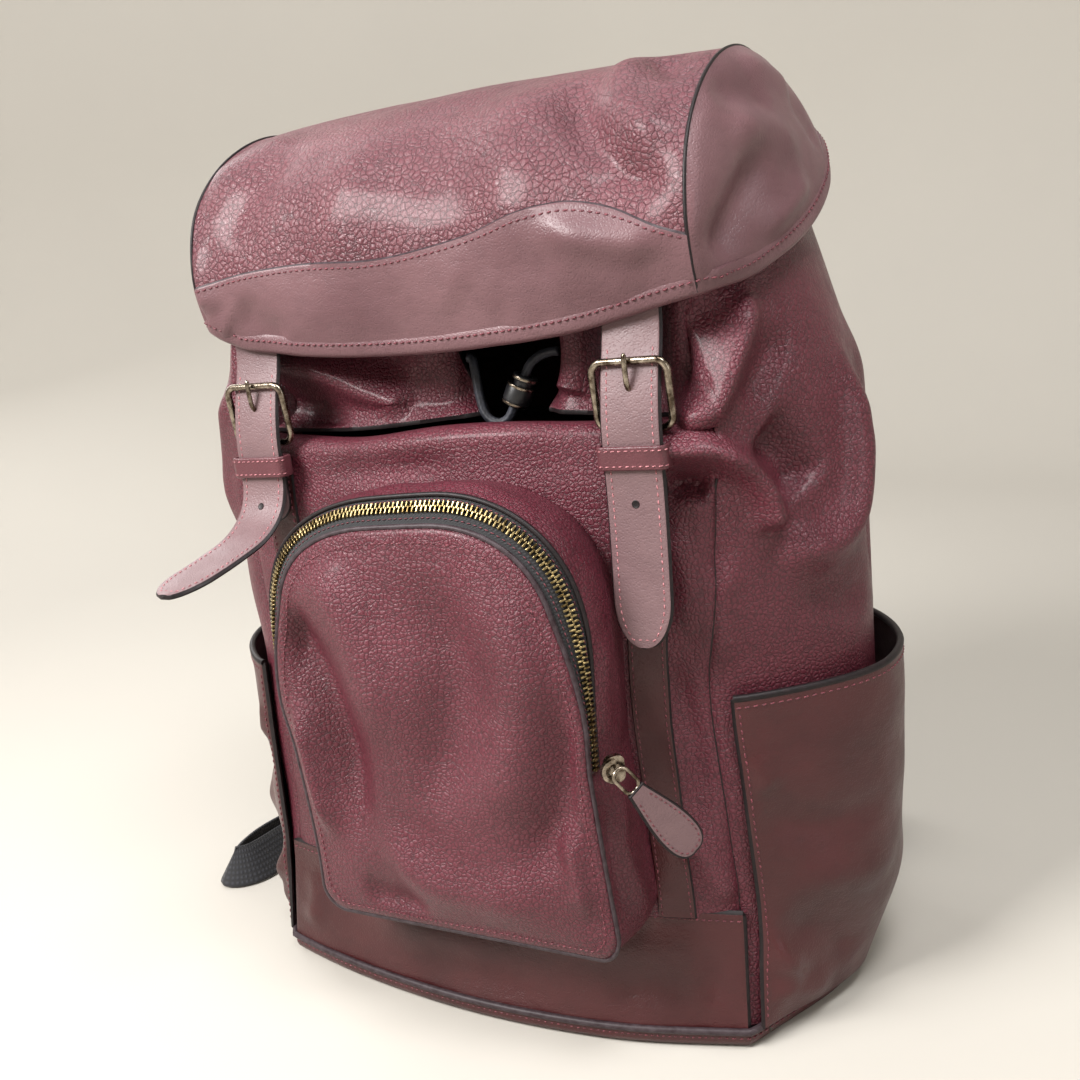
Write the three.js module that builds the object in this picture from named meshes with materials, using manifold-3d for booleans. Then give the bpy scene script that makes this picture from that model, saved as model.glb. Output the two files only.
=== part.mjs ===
// Leather flap-top backpack, built as separate panels, straps and fittings.
// Units are millimetres. +X is the bag's right seen from the front, -Y is the front, +Z is up.
// The origin is the middle of the underside, on the surface that the bag stands on.
import * as THREE from 'three';
import { mergeVertices } from 'three/addons/utils/BufferGeometryUtils.js';
import Module from 'manifold-3d';

const wasm = await Module();
wasm.setup();

// ---------------------------------------------------------------- driving dimensions
const GAP = 0.4;                      // clearance between neighbouring pieces
const LEATHER = 3;                    // body leather with its backing
const BACK_Y = 60;                    // back seam line
const BACK_BULGE = 5;
const PANEL_FOOT = 6.8;               // where the upright panels start above the base piping
const BASE_SEAM_Z = 60;               // top of the smooth base band
const POCKET_TOP_Z = 166;             // mouth of the side pockets
const FOLD_Z = 284;                   // where the front panel starts to fold inwards
const FOLD_R = 7;
const FOLD_RUN = 4;
const SIDE_TOP_Z = 368;
const BACK_TOP_Z = 398;
const BASE_THICKNESS = 3.4;
const BOARD_Z = [3.8, 6.3];
const BOARD_INSET = 12;
const PIPING_Z = 5.1;
const PIPING_RADIUS = 1.3;
const SIDE_ARCH = 0.8;                // how square the side gussets' bulge is

const FLAP_SEAM_X = 128;              // seam between the flap top and its side hoods

const CLOSURE_X = 97.5;               // middle of each closure strap
const CLOSURE_WIDTH = 25;
const STRAP_THICKNESS = 2.4;
const STRAP_TIP = 20;                 // length of the rounded point
const PRONG_HOLE = { radius: 3, z: 304, drop: 3.4 };   // worn down into a short slot
const SPARE_HOLE = { radius: 1.5, z: 258 };
const KEEPER = { outer: [31, 9.6], inner: [27.4, 6.4], y: -91.5, height: 10 };
const SNAP_TAB = { half: 12, back: -89.6, front: -91, top: 284 };
const SNAP = { radius: 7, cap: [-89.1, -87.8], socket: [-87.4, -86] };
const BUCKLE_Z = 302;
const KEEPER_Z = 272.5;
const SNAP_Z = 261;
const STRAP_BAND_X = 96.5;
const STRAP_BAND_WIDTH = 19;

const ARCH = { top: 268, bottom: 62, halfTop: 84, halfBottom: 92, shoulder: 195, zipEnd: 150, flat: 15 };
const GUSSET_FRONT_Y = -119.6;
const ZIP_BACK_Y = -120;
const ZIP_FRONT_Y = -126.6;
const FACE_EDGE_Y = -127;
const FACE_FRONT_Y = -131;
const POCKET_WALL = 2.4;
const TEETH_Y = [-121.8, -124.8];
const TEETH_THICKNESS = 1.6;
const TAPE_THICKNESS = 2;

const MOUTH_Y = -60;
const MOUTH_GAP = [5, 53];            // the opening that the drawstring hangs in
const MOUTH_TOP_Z = 366;
const MOUTH_HALF = 114;
const CORD_RADIUS = 2.2;

const PAD_TOP = new THREE.Vector3(73, 80.5, 374);
const PAD_END = new THREE.Vector3(84, 84, 138);
const WEBBING_WIDTH = 25;
const WEBBING_THICKNESS = 1.8;
const HANDLE_SECTION = [11, 6.5];
const PAD_WIDTH = [54, 40];
const PAD_THICKNESS = 11;
const LADDER_LOCK = { width: 33, height: 26, corner: 5, wire: 2, bar: 1.7, z: 120 };
const ANCHOR = { foot: 20, top: 14, height: 27, x: 104, z: 12, back: 69.2, front: 66 };

// ---------------------------------------------------------------- materials
const COLOURS = {
  pebbled: [0x54222d, 0.5, 0],
  smooth: [0x5d3038, 0.45, 0],
  brown: [0x4a2426, 0.42, 0],
  strap: [0x7b5358, 0.5, 0],
  lining: [0x1b1a1d, 0.9, 0],
  board: [0x3a3733, 0.8, 0],
  webbing: [0x1d1e22, 0.85, 0],
  foam: [0x2a1a1d, 0.8, 0],
  nickel: [0xa79a86, 0.3, 1],
  brass: [0x8d7440, 0.35, 1],
  plastic: [0x141416, 0.4, 0],
};

const bag = new THREE.Group();

/** Adds one named piece to the bag. */
function add(name, geometry, finish) {
  const [color, roughness, metalness] = COLOURS[finish];
  const mesh = new THREE.Mesh(geometry, new THREE.MeshStandardMaterial({ color, roughness, metalness }));
  mesh.name = name;
  bag.add(mesh);
  return mesh;
}

// ---------------------------------------------------------------- geometry helpers
const { clamp, lerp, smoothstep } = THREE.MathUtils;

/** A value that runs straight between stations of [place, value]. */
function stations(...list) {
  return (place) => {
    const next = clamp(list.findIndex(([at]) => at > place), 1, list.length - 1);
    const after = list.at(-1)[0] <= place ? list.length - 1 : next;
    const [from, low] = list[after - 1];
    const [to, high] = list[after];
    return lerp(low, high, clamp((place - from) / (to - from), 0, 1));
  };
}

/** Unit normal of surface(u, v), on the side that du x dv points to. */
function surfaceNormal(surface, u, v, du, dv) {
  const alongU = surface(u + du, v).sub(surface(u - du, v));
  const alongV = surface(u, v + dv).sub(surface(u, v - dv));
  return alongU.cross(alongV).normalize();
}

/** A sheet of leather: a box carried onto surface(u, v), from the inner to the outer offset. */
function sheet(surface, { u, v, outer, inner, steps }) {
  const geometry = new THREE.BoxGeometry(1, 1, 1, steps[0], steps[1], 1);
  const position = geometry.attributes.position;
  const offset = { outer, inner };
  for (let i = 0; i < position.count; i += 1) {
    const a = lerp(u[0], u[1], position.getX(i) + 0.5);
    const b = lerp(v[0], v[1], position.getY(i) + 0.5);
    const side = offset[position.getZ(i) > 0 ? 'outer' : 'inner'];
    const distance = typeof side === 'function' ? side(a, b) : side;
    const du = (u[1] - u[0]) * 1e-3;
    const dv = (v[1] - v[0]) * 1e-3;
    const point = surface(a, b).addScaledVector(surfaceNormal(surface, a, b, du, dv), distance);
    position.setXYZ(i, point.x, point.y, point.z);
  }
  return geometry;
}

/** The same piece on the other side of the bag. */
function mirrored(geometry) {
  const copy = geometry.index ? geometry.toNonIndexed() : geometry.clone();
  const position = copy.attributes.position;
  const corner = new THREE.Vector3();
  const swapped = new Float32Array(position.count * 3);
  for (let i = 0; i < position.count; i += 1) {
    const source = i - (i % 3) + [0, 2, 1][i % 3];
    corner.fromBufferAttribute(position, source);
    swapped.set([-corner.x, corner.y, corner.z], i * 3);
  }
  const result = new THREE.BufferGeometry();
  result.setAttribute('position', new THREE.BufferAttribute(swapped, 3));
  return result;
}

/** Adds NAME_right as built and NAME_left as its mirror image. */
function addPair(name, geometry, finish) {
  add(`${name}_right`, geometry, finish);
  add(`${name}_left`, mirrored(geometry), finish);
}

/** A ring about Z carried onto a closed path: angle becomes place on it, radius the distance outside it. */
function wrapRing(geometry, radius, path) {
  const position = geometry.attributes.position;
  const at = (t) => path((t + 1) % 1);
  for (let i = 0; i < position.count; i += 1) {
    const t = (Math.atan2(position.getY(i), position.getX(i)) / (2 * Math.PI) + 1) % 1;
    const out = Math.hypot(position.getX(i), position.getY(i)) - radius;
    const along = at(t + 1e-4).sub(at(t - 1e-4)).normalize();
    const point = at(t).add(new THREE.Vector3(along.y, -along.x, 0).multiplyScalar(out));
    position.setXYZ(i, point.x, point.y, point.z + position.getZ(i));
  }
  return geometry;
}

/** A rounded rectangle as a closed path of t, centred on the origin in the XY plane. */
function roundedLoop(width, height, corner) {
  return closedPath(roundedRectangle(width, height, corner));
}

/** A shape's outline as a closed path of t. */
function closedPath(shape, samples = 200) {
  const points = shape.getSpacedPoints(samples);
  return (t) => {
    const place = ((t % 1) + 1) % 1 * samples;
    const low = Math.floor(place);
    const point = points[low].clone().lerp(points[(low + 1) % samples], place - low);
    return new THREE.Vector3(point.x, point.y, 0);
  };
}

function roundedRectangle(width, height, corner) {
  const x = width / 2;
  const y = height / 2;
  const shape = new THREE.Shape();
  shape.moveTo(x, 0);
  shape.absarc(x - corner, y - corner, corner, 0, Math.PI / 2);
  shape.absarc(-x + corner, y - corner, corner, Math.PI / 2, Math.PI);
  shape.absarc(-x + corner, -y + corner, corner, Math.PI, Math.PI * 1.5);
  shape.absarc(x - corner, -y + corner, corner, Math.PI * 1.5, Math.PI * 2);
  shape.closePath();
  return shape;
}

/** A round wire bent into a closed loop in the XY plane. */
function wireLoop(width, height, corner, wire, steps) {
  const ring = new THREE.TorusGeometry(10, wire, 8, steps);
  return wrapRing(ring, 10, roundedLoop(width, height, corner));
}

function toSolid(geometry) {
  const bare = geometry.clone();
  bare.deleteAttribute('normal');
  bare.deleteAttribute('uv');
  const merged = mergeVertices(bare, 1e-3);
  return new wasm.Manifold(new wasm.Mesh({
    numProp: 3,
    vertProperties: new Float32Array(merged.attributes.position.array),
    triVerts: new Uint32Array(merged.index.array),
  }));
}

function fromSolid(solid) {
  const mesh = solid.getMesh();
  const geometry = new THREE.BufferGeometry();
  geometry.setAttribute('position', new THREE.BufferAttribute(new Float32Array(mesh.vertProperties), 3));
  geometry.setIndex(new THREE.BufferAttribute(new Uint32Array(mesh.triVerts), 1));
  return geometry;
}

function cut(geometry, ...tools) {
  return fromSolid(tools.reduce((solid, tool) => solid.subtract(toSolid(tool)), toSolid(geometry)));
}

function join(...pieces) {
  return fromSolid(pieces.map(toSolid).reduce((whole, piece) => whole.add(piece)));
}

/** A disc or plug whose axis lies along Y, from y0 (front) to y1. */
function discAlongY(radius, x, y0, y1, z, sides = 14) {
  const disc = new THREE.CylinderGeometry(radius, radius, y1 - y0, sides);
  return disc.translate(x, (y0 + y1) / 2, z);
}

/** An outline in the XZ plane pulled along Y from yBack (depth 0) to yFront (depth 1). */
function extrudeForward(shape, yBack, yFront, curveSegments = 10) {
  const geometry = new THREE.ExtrudeGeometry(shape, {
    depth: yBack - yFront, bevelEnabled: false, curveSegments,
  });
  geometry.rotateX(Math.PI / 2);
  return geometry.translate(0, yBack, 0);
}

// ---------------------------------------------------------------- body of the bag
const cornerX = stations([0, 137], [69, 135], [175, 128], [270, 128], [330, 122], [400, 108]);
const cornerY = stations([0, 92], [60, 80], [265, 77], [330, 72], [400, 64]);
const frontBulge = stations([0, 20], [60, 13], [290, 13]);
const sideBulge = stations(
  [0, 20], [60, 30], [120, 35], [200, 38], [311, 33], [340, 26], [370, 20], [400, 10],
);
const backX = stations([0, 136], [300, 138], [400, 128]);

function frontY(u, z) {
  return -cornerY(z) - frontBulge(z) * (1 - u * u);
}

/** Front of the bag: u runs from seam to seam, p is the height and then the run round the top fold. */
function frontSurface(u, p) {
  const z = Math.min(p, FOLD_Z);
  const past = Math.max(p - FOLD_Z, 0);
  const turn = Math.min(past / FOLD_R, Math.PI / 2);
  const run = Math.max(past - FOLD_R * Math.PI / 2, 0);
  const narrowing = 1 - 0.05 * Math.sin(turn);
  return new THREE.Vector3(
    u * cornerX(z) * narrowing,
    frontY(u, z) + FOLD_R * (1 - Math.cos(turn)) + run,
    z + FOLD_R * Math.sin(turn),
  );
}

/** Right side of the bag: u runs from the front seam to the back seam. */
function sideSurface(u, z) {
  const bulge = sideBulge(z) * Math.sin(Math.PI * clamp(u, 0, 1)) ** SIDE_ARCH;
  return new THREE.Vector3(
    lerp(cornerX(z), backX(z), u) + bulge,
    lerp(-cornerY(z), BACK_Y, u),
    z,
  );
}

/** Back of the bag: u runs from right to left seen from the front. */
function backSurface(u, z) {
  return new THREE.Vector3(-u * backX(z), BACK_Y + BACK_BULGE * (1 - u * u), z);
}

/** The bag's outline at a height: t runs once round, starting at the left front seam. */
function bodyOutline(z) {
  return (t) => {
    if (t < 0.3) {
      return frontSurface(lerp(-1, 1, t / 0.3), z);
    }
    if (t < 0.5) {
      return sideSurface((t - 0.3) / 0.2, z);
    }
    if (t < 0.8) {
      return backSurface(lerp(-1, 1, (t - 0.5) / 0.3), z);
    }
    const point = sideSurface(1 - (t - 0.8) / 0.2, z);
    point.x *= -1;
    return point;
  };
}

/** The outline drawn in by an inset, as a flat shape. */
function outlineShape(z, inset, count = 56) {
  const path = bodyOutline(z);
  const points = [];
  for (let i = 0; i < count; i += 1) {
    const t = i / count;
    const along = path((t + 1e-4) % 1).sub(path((t - 1e-4 + 1) % 1)).normalize();
    const point = path(t);
    points.push(new THREE.Vector2(point.x - along.y * inset, point.y + along.x * inset));
  }
  return new THREE.Shape(points);
}

function flatPlate(shape, z0, z1) {
  return new THREE.ExtrudeGeometry(shape, { depth: z1 - z0, bevelEnabled: false }).translate(0, 0, z0);
}

const SEAM_U = 1 - GAP / 128;
const PANEL = { outer: 0, inner: -LEATHER };
const FOLD_END = FOLD_Z + FOLD_R * Math.PI / 2 + FOLD_RUN;

const foldedFront = (u, v) => frontSurface(u, v < 0.6
  ? lerp(BASE_SEAM_Z + GAP, FOLD_Z, v / 0.6)
  : lerp(FOLD_Z, FOLD_END, (v - 0.6) / 0.4));
add('front_panel', sheet(foldedFront, {
  u: [-SEAM_U, SEAM_U], v: [0, 1], ...PANEL, steps: [10, 10],
}), 'pebbled');
add('base_band_front', sheet(frontSurface, {
  u: [-SEAM_U, SEAM_U], v: [PANEL_FOOT, BASE_SEAM_Z], ...PANEL, steps: [10, 2],
}), 'brown');
add('back_panel', sheet(backSurface, {
  u: [-SEAM_U, SEAM_U], v: [PANEL_FOOT, BACK_TOP_Z], ...PANEL, steps: [6, 4],
}), 'brown');
addPair('side_panel', sheet(sideSurface, {
  u: [0.012, 0.985], v: [PANEL_FOOT, SIDE_TOP_Z], ...PANEL, steps: [8, 9],
}), 'pebbled');

add('base_panel', flatPlate(outlineShape(0, 0), 0, BASE_THICKNESS), 'brown');
add('base_board', flatPlate(outlineShape(0, BOARD_INSET, 40), ...BOARD_Z), 'board');
add('base_piping', wrapRing(
  new THREE.TorusGeometry(100, PIPING_RADIUS, 5, 40), 100, bodyOutline(PIPING_Z),
), 'brown');

// Side pockets: open-topped, drawn in to the body at their ends and at the foot.
const POCKET_U = [0.03, 0.93];
const POCKET_EDGE = 1.4;
const POCKET_DEPTH = 9.6;
const POCKET_LEATHER = 2.6;
function pocketOffset(u, z) {
  const across = Math.sin(Math.PI * (u - POCKET_U[0]) / (POCKET_U[1] - POCKET_U[0]));
  return POCKET_EDGE + POCKET_DEPTH * Math.max(across, 0) ** 0.7 * smoothstep(z, 0, 60);
}
addPair('side_pocket', sheet(sideSurface, {
  u: POCKET_U,
  v: [PANEL_FOOT, POCKET_TOP_Z],
  outer: (u, z) => pocketOffset(u, z) + POCKET_LEATHER,
  inner: pocketOffset,
  steps: [10, 5],
}), 'brown');

// Smooth leather bands sewn down the front under the closure straps.
const BAND_U = [STRAP_BAND_X - STRAP_BAND_WIDTH / 2, STRAP_BAND_X + STRAP_BAND_WIDTH / 2].map((x) => x / 128);
addPair('strap_band', sheet(frontSurface, {
  u: BAND_U, v: [BASE_SEAM_Z + 1, FOLD_Z - 1], outer: GAP + 1.8, inner: GAP, steps: [1, 6],
}), 'brown');

// Back: a padded panel, and a yoke over the roots of the handle and the shoulder straps.
const BACK_PAD = { halfU: 0.78, foot: 55, top: 338, edge: 2.4, crown: 6 };
function padCrown(u, z) {
  const middle = (BACK_PAD.foot + BACK_PAD.top) / 2;
  const halfHeight = (BACK_PAD.top - BACK_PAD.foot) / 2;
  const across = 1 - (u / BACK_PAD.halfU) ** 6;
  const up = 1 - ((z - middle) / halfHeight) ** 8;
  return BACK_PAD.edge + BACK_PAD.crown * across * up;
}
add('back_pad', sheet(backSurface, {
  u: [-BACK_PAD.halfU, BACK_PAD.halfU],
  v: [BACK_PAD.foot, BACK_PAD.top],
  outer: padCrown,
  inner: GAP,
  steps: [8, 8],
}), 'foam');
add('back_yoke', sheet(backSurface, {
  u: [-0.86, 0.86], v: [344, 396], outer: GAP + 2.4, inner: GAP, steps: [6, 1],
}), 'brown');

// ---------------------------------------------------------------- lining and inside pockets
const LINING = { heights: [8, 30, 58, 66, 165, 276], inset: 6.4, thickness: 1.2 };
const SLEEVE = { size: [220, 2, 220], place: [0, 44, 124] };
const SLIP_POCKET = { size: [136, 1.6, 110], place: [0, -68, 150] };

/** A closed wall that follows the bag's outline through the heights given. */
function loopWall(heights, inset, thickness, segments) {
  const rings = (radius) => heights.map((z) => [radius, z]);
  const wall = turned([...rings(100 - inset), ...rings(100 - inset - thickness).reverse()], segments);
  const position = wall.attributes.position;
  for (let i = 0; i < position.count; i += 1) {
    const z = position.getZ(i);
    const path = bodyOutline(z);
    const t = (Math.atan2(position.getY(i), position.getX(i)) / (2 * Math.PI) + 1) % 1;
    const out = Math.hypot(position.getX(i), position.getY(i)) - 100;
    const along = path((t + 1e-4) % 1).sub(path((t - 1e-4 + 1) % 1)).normalize();
    const point = path(t);
    position.setXYZ(i, point.x + along.y * out, point.y - along.x * out, z);
  }
  return wall;
}
add('lining', loopWall(LINING.heights, LINING.inset, LINING.thickness, 32), 'lining');
add('laptop_sleeve', new THREE.BoxGeometry(...SLEEVE.size).translate(...SLEEVE.place), 'lining');
add('slip_pocket', new THREE.BoxGeometry(...SLIP_POCKET.size).translate(...SLIP_POCKET.place), 'lining');

// ---------------------------------------------------------------- front zip pocket
/** The pocket's arch without its foot, from the right zip end over the top to the left one. */
function archPath(inset) {
  const path = new THREE.Path();
  const x = ARCH.halfTop - inset;
  const top = ARCH.top - inset;
  path.moveTo(x, ARCH.zipEnd);
  path.lineTo(x, ARCH.shoulder);
  path.bezierCurveTo(x, ARCH.shoulder + 45, x - 22, top, ARCH.flat, top);
  path.lineTo(-ARCH.flat, top);
  path.bezierCurveTo(-x + 22, top, -x, ARCH.shoulder + 45, -x, ARCH.shoulder);
  path.lineTo(-x, ARCH.zipEnd);
  return path;
}

function archOutline(inset) {
  const foot = new THREE.Vector2(ARCH.halfBottom - inset, ARCH.bottom + inset);
  const step = new THREE.Vector2(ARCH.halfTop - inset + 0.4, ARCH.zipEnd - 4);
  const points = archPath(inset).getPoints(9);
  return subdivided([
    new THREE.Vector2(-foot.x, foot.y), foot, step, ...points, new THREE.Vector2(-step.x, step.y),
  ], 16);
}

/** The same closed outline with no side longer than a limit. */
function subdivided(points, longest) {
  return points.flatMap((point, i) => {
    const next = points[(i + 1) % points.length];
    const parts = Math.max(Math.ceil(point.distanceTo(next) / longest), 1);
    return Array.from({ length: parts }, (_, k) => point.clone().lerp(next, k / parts));
  });
}

/** A closed path of t through the arch's outline, in the XY plane. */
function archLoop(inset) {
  return closedPath(new THREE.Shape(archOutline(inset)));
}

function archStrip(outset, thickness, segments) {
  const outer = archPath(-outset).getSpacedPoints(segments);
  const inner = archPath(thickness - outset).getSpacedPoints(segments).reverse();
  return new THREE.Shape([...outer, ...inner]);
}

/** A wall round the arch, from yBack to yFront. */
function archWall(thickness, yBack, yFront, segments) {
  const corners = [[100, 0], [100, yBack - yFront], [100 - thickness, yBack - yFront], [100 - thickness, 0]];
  const ring = turned(corners, segments);
  return wrapRing(ring, 100, archLoop(0)).rotateX(Math.PI / 2).translate(0, yBack, 0);
}

/** Leaves the gusset's rear edge on the front panel. */
function fitGusset(geometry) {
  const position = geometry.attributes.position;
  for (let i = 0; i < position.count; i += 1) {
    const z = position.getZ(i);
    if (position.getY(i) > (GUSSET_FRONT_Y + MOUTH_Y) / 2) {
      position.setY(i, frontY(position.getX(i) / cornerX(z), z) - 1);
    }
  }
  return geometry;
}
add('zip_pocket_gusset', fitGusset(archWall(POCKET_WALL, MOUTH_Y, GUSSET_FRONT_Y, 48)), 'pebbled');

const faceBlank = extrudeForward(new THREE.Shape(archOutline(0)), FACE_EDGE_Y, FACE_FRONT_Y);
const faceHollow = extrudeForward(new THREE.Shape(archOutline(2.6)), FACE_EDGE_Y + 1, FACE_FRONT_Y + 2);
const cheeks = archWall(POCKET_WALL, ZIP_BACK_Y, FACE_EDGE_Y - 1, 48);
const aboveCheeks = new THREE.BoxGeometry(400, 100, 200).translate(0, ZIP_BACK_Y, ARCH.zipEnd - GAP + 100);
const faceTray = fromSolid(toSolid(faceBlank).add(toSolid(cheeks).subtract(toSolid(aboveCheeks)))
  .subtract(toSolid(faceHollow)));
add('zip_pocket_face', faceTray, 'pebbled');
add('zip_tape', extrudeForward(archStrip(0, TAPE_THICKNESS, 28), ZIP_BACK_Y, ZIP_FRONT_Y), 'webbing');
const teethStrip = archStrip(GAP + TEETH_THICKNESS, TEETH_THICKNESS, 28);
add('zip_teeth', extrudeForward(teethStrip, ...TEETH_Y), 'brass');

// Slider on the right-hand leg of the zip, with a bridge that carries the pull.
const SLIDER = new THREE.Vector3(
  ARCH.halfTop + GAP * 3 + TEETH_THICKNESS,
  (TEETH_Y[0] + TEETH_Y[1]) / 2,
  ARCH.zipEnd + 4,
);
const TILT = -0.75;                   // the slider faces forward and to the right

/** Places a fitting built round the origin, facing +X, at the slider. */
function onSlider(geometry) {
  return geometry.rotateZ(TILT).translate(SLIDER.x, SLIDER.y, SLIDER.z);
}
const sliderPlate = new THREE.ExtrudeGeometry(roundedRectangle(12, 8.4, 3), {
  depth: 2.6, bevelEnabled: false, curveSegments: 4,
}).rotateY(Math.PI / 2).translate(2, 0, 0);
const bridgeOutline = new THREE.Shape();
bridgeOutline.moveTo(-5, 0);
bridgeOutline.lineTo(5, 0);
bridgeOutline.bezierCurveTo(5, 5, 3, 6.4, 0, 6.4);
bridgeOutline.bezierCurveTo(-3, 6.4, -5, 5, -5, 0);
const bridgeEye = new THREE.Path();
bridgeEye.moveTo(-3.2, 0.6);
bridgeEye.lineTo(3.2, 0.6);
bridgeEye.bezierCurveTo(3.2, 3.8, 2, 4.8, 0, 4.8);
bridgeEye.bezierCurveTo(-2, 4.8, -3.2, 3.8, -3.2, 0.6);
bridgeOutline.holes.push(bridgeEye);
const bridge = new THREE.ExtrudeGeometry(bridgeOutline, { depth: 2.4, bevelEnabled: false, curveSegments: 5 })
  .translate(0, 0, -1.2).rotateX(Math.PI / 2).rotateZ(Math.PI / 2).rotateX(Math.PI / 2).translate(4.4, 0, 0);
add('zip_slider', onSlider(join(sliderPlate, bridge)), 'nickel');

// Pull: a wire link through the bridge and a leather tab hanging from it.
const LINK_LENGTH = 12;
const LINK_WIRE = 0.8;
const TAB_THICKNESS = 2.6;
const LUG = { side: 4.4, height: 5, bore: 1.25 };
const PULL_LIFT = 0.16;               // the pull stands off the pocket a little
const PULL_LEAN = 0.6;                // and lies over to the bag's right
function hangFromSlider(geometry) {
  geometry.rotateX(PULL_LEAN).rotateY(-PULL_LIFT).translate(7.6, 0, -0.4);
  return onSlider(geometry);
}
const link = wireLoop(7, LINK_LENGTH, 1.8, LINK_WIRE, 20).rotateX(Math.PI / 2).rotateZ(Math.PI / 2);
add('pull_link', hangFromSlider(link.translate(0, 0, -LINK_LENGTH / 2 + 1.4)), 'nickel');
const LINK_FOOT = 1.4 - LINK_LENGTH;
const tabOutline = new THREE.Shape();
tabOutline.moveTo(-4.6, 0);
tabOutline.bezierCurveTo(-6.5, -10, -9.5, -20, -8.5, -30);
tabOutline.bezierCurveTo(-7.5, -38, 7.5, -38, 8.5, -30);
tabOutline.bezierCurveTo(9.5, -20, 6.5, -10, 4.6, 0);
const tabBody = new THREE.ExtrudeGeometry(tabOutline, {
  depth: TAB_THICKNESS, bevelEnabled: false, curveSegments: 6,
}).translate(0, 0, -TAB_THICKNESS / 2).rotateX(Math.PI / 2).rotateZ(Math.PI / 2).translate(0, 0, LINK_FOOT - 2);
const tabLug = new THREE.BoxGeometry(LUG.side, LUG.side, LUG.height).translate(0, 0, LINK_FOOT - GAP);
const tabTunnel = new THREE.CylinderGeometry(LUG.bore, LUG.bore, 20, 12).translate(0, 0, LINK_FOOT);
add('pull_tab', hangFromSlider(cut(join(tabBody, tabLug), tabTunnel)), 'strap');

// ---------------------------------------------------------------- gathered mouth, drawstring, cord lock
const mouthProfile = new THREE.CatmullRomCurve3([
  new THREE.Vector3(0, -66.5, 293.6),
  new THREE.Vector3(0, MOUTH_Y - 1, 300),
  new THREE.Vector3(0, MOUTH_Y, 320),
  new THREE.Vector3(0, MOUTH_Y, 345),
  new THREE.Vector3(0, MOUTH_Y + 4, MOUTH_TOP_Z),
]);

function mouthSurface(x, v) {
  const point = mouthProfile.getPoint(clamp(v, 0, 1));
  return new THREE.Vector3(x, point.y - 4 * smoothstep(Math.abs(x), 104, 118), point.z);
}
const CASING = { v: [0, 1], outer: 0, inner: -LEATHER };
add('mouth_casing_left', sheet(mouthSurface, {
  u: [-MOUTH_HALF, MOUTH_GAP[0]], ...CASING, steps: [12, 7],
}), 'pebbled');
add('mouth_casing_right', sheet(mouthSurface, {
  u: [MOUTH_GAP[1], MOUTH_HALF], ...CASING, steps: [8, 7],
}), 'pebbled');

const CORD_ROUTE = [
  [6.1, -58.6, 318.4], [7.9, -58.8, 317.8], [9.4, -60, 314.2], [10.6, -61.4, 307.5], [11.9, -62.6, 300],
  [14, -63.8, 293.5], [17.5, -64.4, 289.6], [21.8, -64.6, 288.2], [25.8, -64.2, 289.6],
  [28.6, -63.4, 293.4], [31, -62.6, 298.4], [33.6, -61.9, 304], [36.4, -61.5, 309.4],
  [39.4, -60.7, 313.8], [43.8, -59.4, 316.9], [48.6, -58.7, 318.2], [52.4, -58.6, 318.4],
].map((place) => new THREE.Vector3(...place));
const cordCurve = new THREE.CatmullRomCurve3(CORD_ROUTE, false, 'centripetal');
const cordSection = new THREE.Shape();
for (let i = 0; i < 8; i += 1) {
  const angle = (i / 8) * Math.PI * 2;
  const corner = [Math.cos(angle) * CORD_RADIUS, Math.sin(angle) * CORD_RADIUS];
  if (i === 0) {
    cordSection.moveTo(...corner);
  } else {
    cordSection.lineTo(...corner);
  }
}
cordSection.closePath();
add('drawstring', new THREE.ExtrudeGeometry(cordSection, {
  extrudePath: cordCurve, steps: 24, bevelEnabled: false,
}), 'plastic');

const LOCK_FOOT = new THREE.Vector3(29.6, -63.05, 295.4);
const LOCK_AXIS = new THREE.Vector3(36, -61.55, 308.6).sub(LOCK_FOOT).normalize();
const lockTurn = new THREE.Quaternion().setFromUnitVectors(new THREE.Vector3(0, 0, 1), LOCK_AXIS);

/** A turned ring on the cord lock's axis; the profile gives [radius, height] corners and closes itself. */
function turned(profile, segments = 14) {
  const corners = profile.map(([radius, height]) => new THREE.Vector2(radius, height));
  corners.push(corners[0].clone());
  return new THREE.LatheGeometry(corners, segments).rotateX(Math.PI / 2);
}
function onLock(geometry) {
  return geometry.applyQuaternion(lockTurn).translate(LOCK_FOOT.x, LOCK_FOOT.y, LOCK_FOOT.z);
}
const lockBore = CORD_RADIUS + 0.9;
add('cord_lock_body', onLock(turned([
  [lockBore, 0], [5.2, 0], [6.4, 2.2], [6.4, 9.4], [5.7, 10], [4.7, 10], [4.7, 4.4], [lockBore, 4.4],
])), 'plastic');
class Helix extends THREE.Curve {
  getPoint(t, target = new THREE.Vector3()) {
    const angle = t * Math.PI * 2 * 2.5;
    return target.set(Math.cos(angle) * 3.95, Math.sin(angle) * 3.95, lerp(5, 7, t));
  }
}
add('cord_lock_spring', onLock(new THREE.ExtrudeGeometry(
  new THREE.Shape([[0.3, 0], [0, 0.3], [-0.3, 0], [0, -0.3]].map(([x, y]) => new THREE.Vector2(x, y))),
  { extrudePath: new Helix(), steps: 24, bevelEnabled: false },
)), 'nickel');
add('cord_lock_button', onLock(turned([
  [lockBore, 7.7], [4.3, 7.7], [4.3, 13], [5.8, 13], [5.8, 15.6], [lockBore, 15.6],
])), 'plastic');

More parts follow.
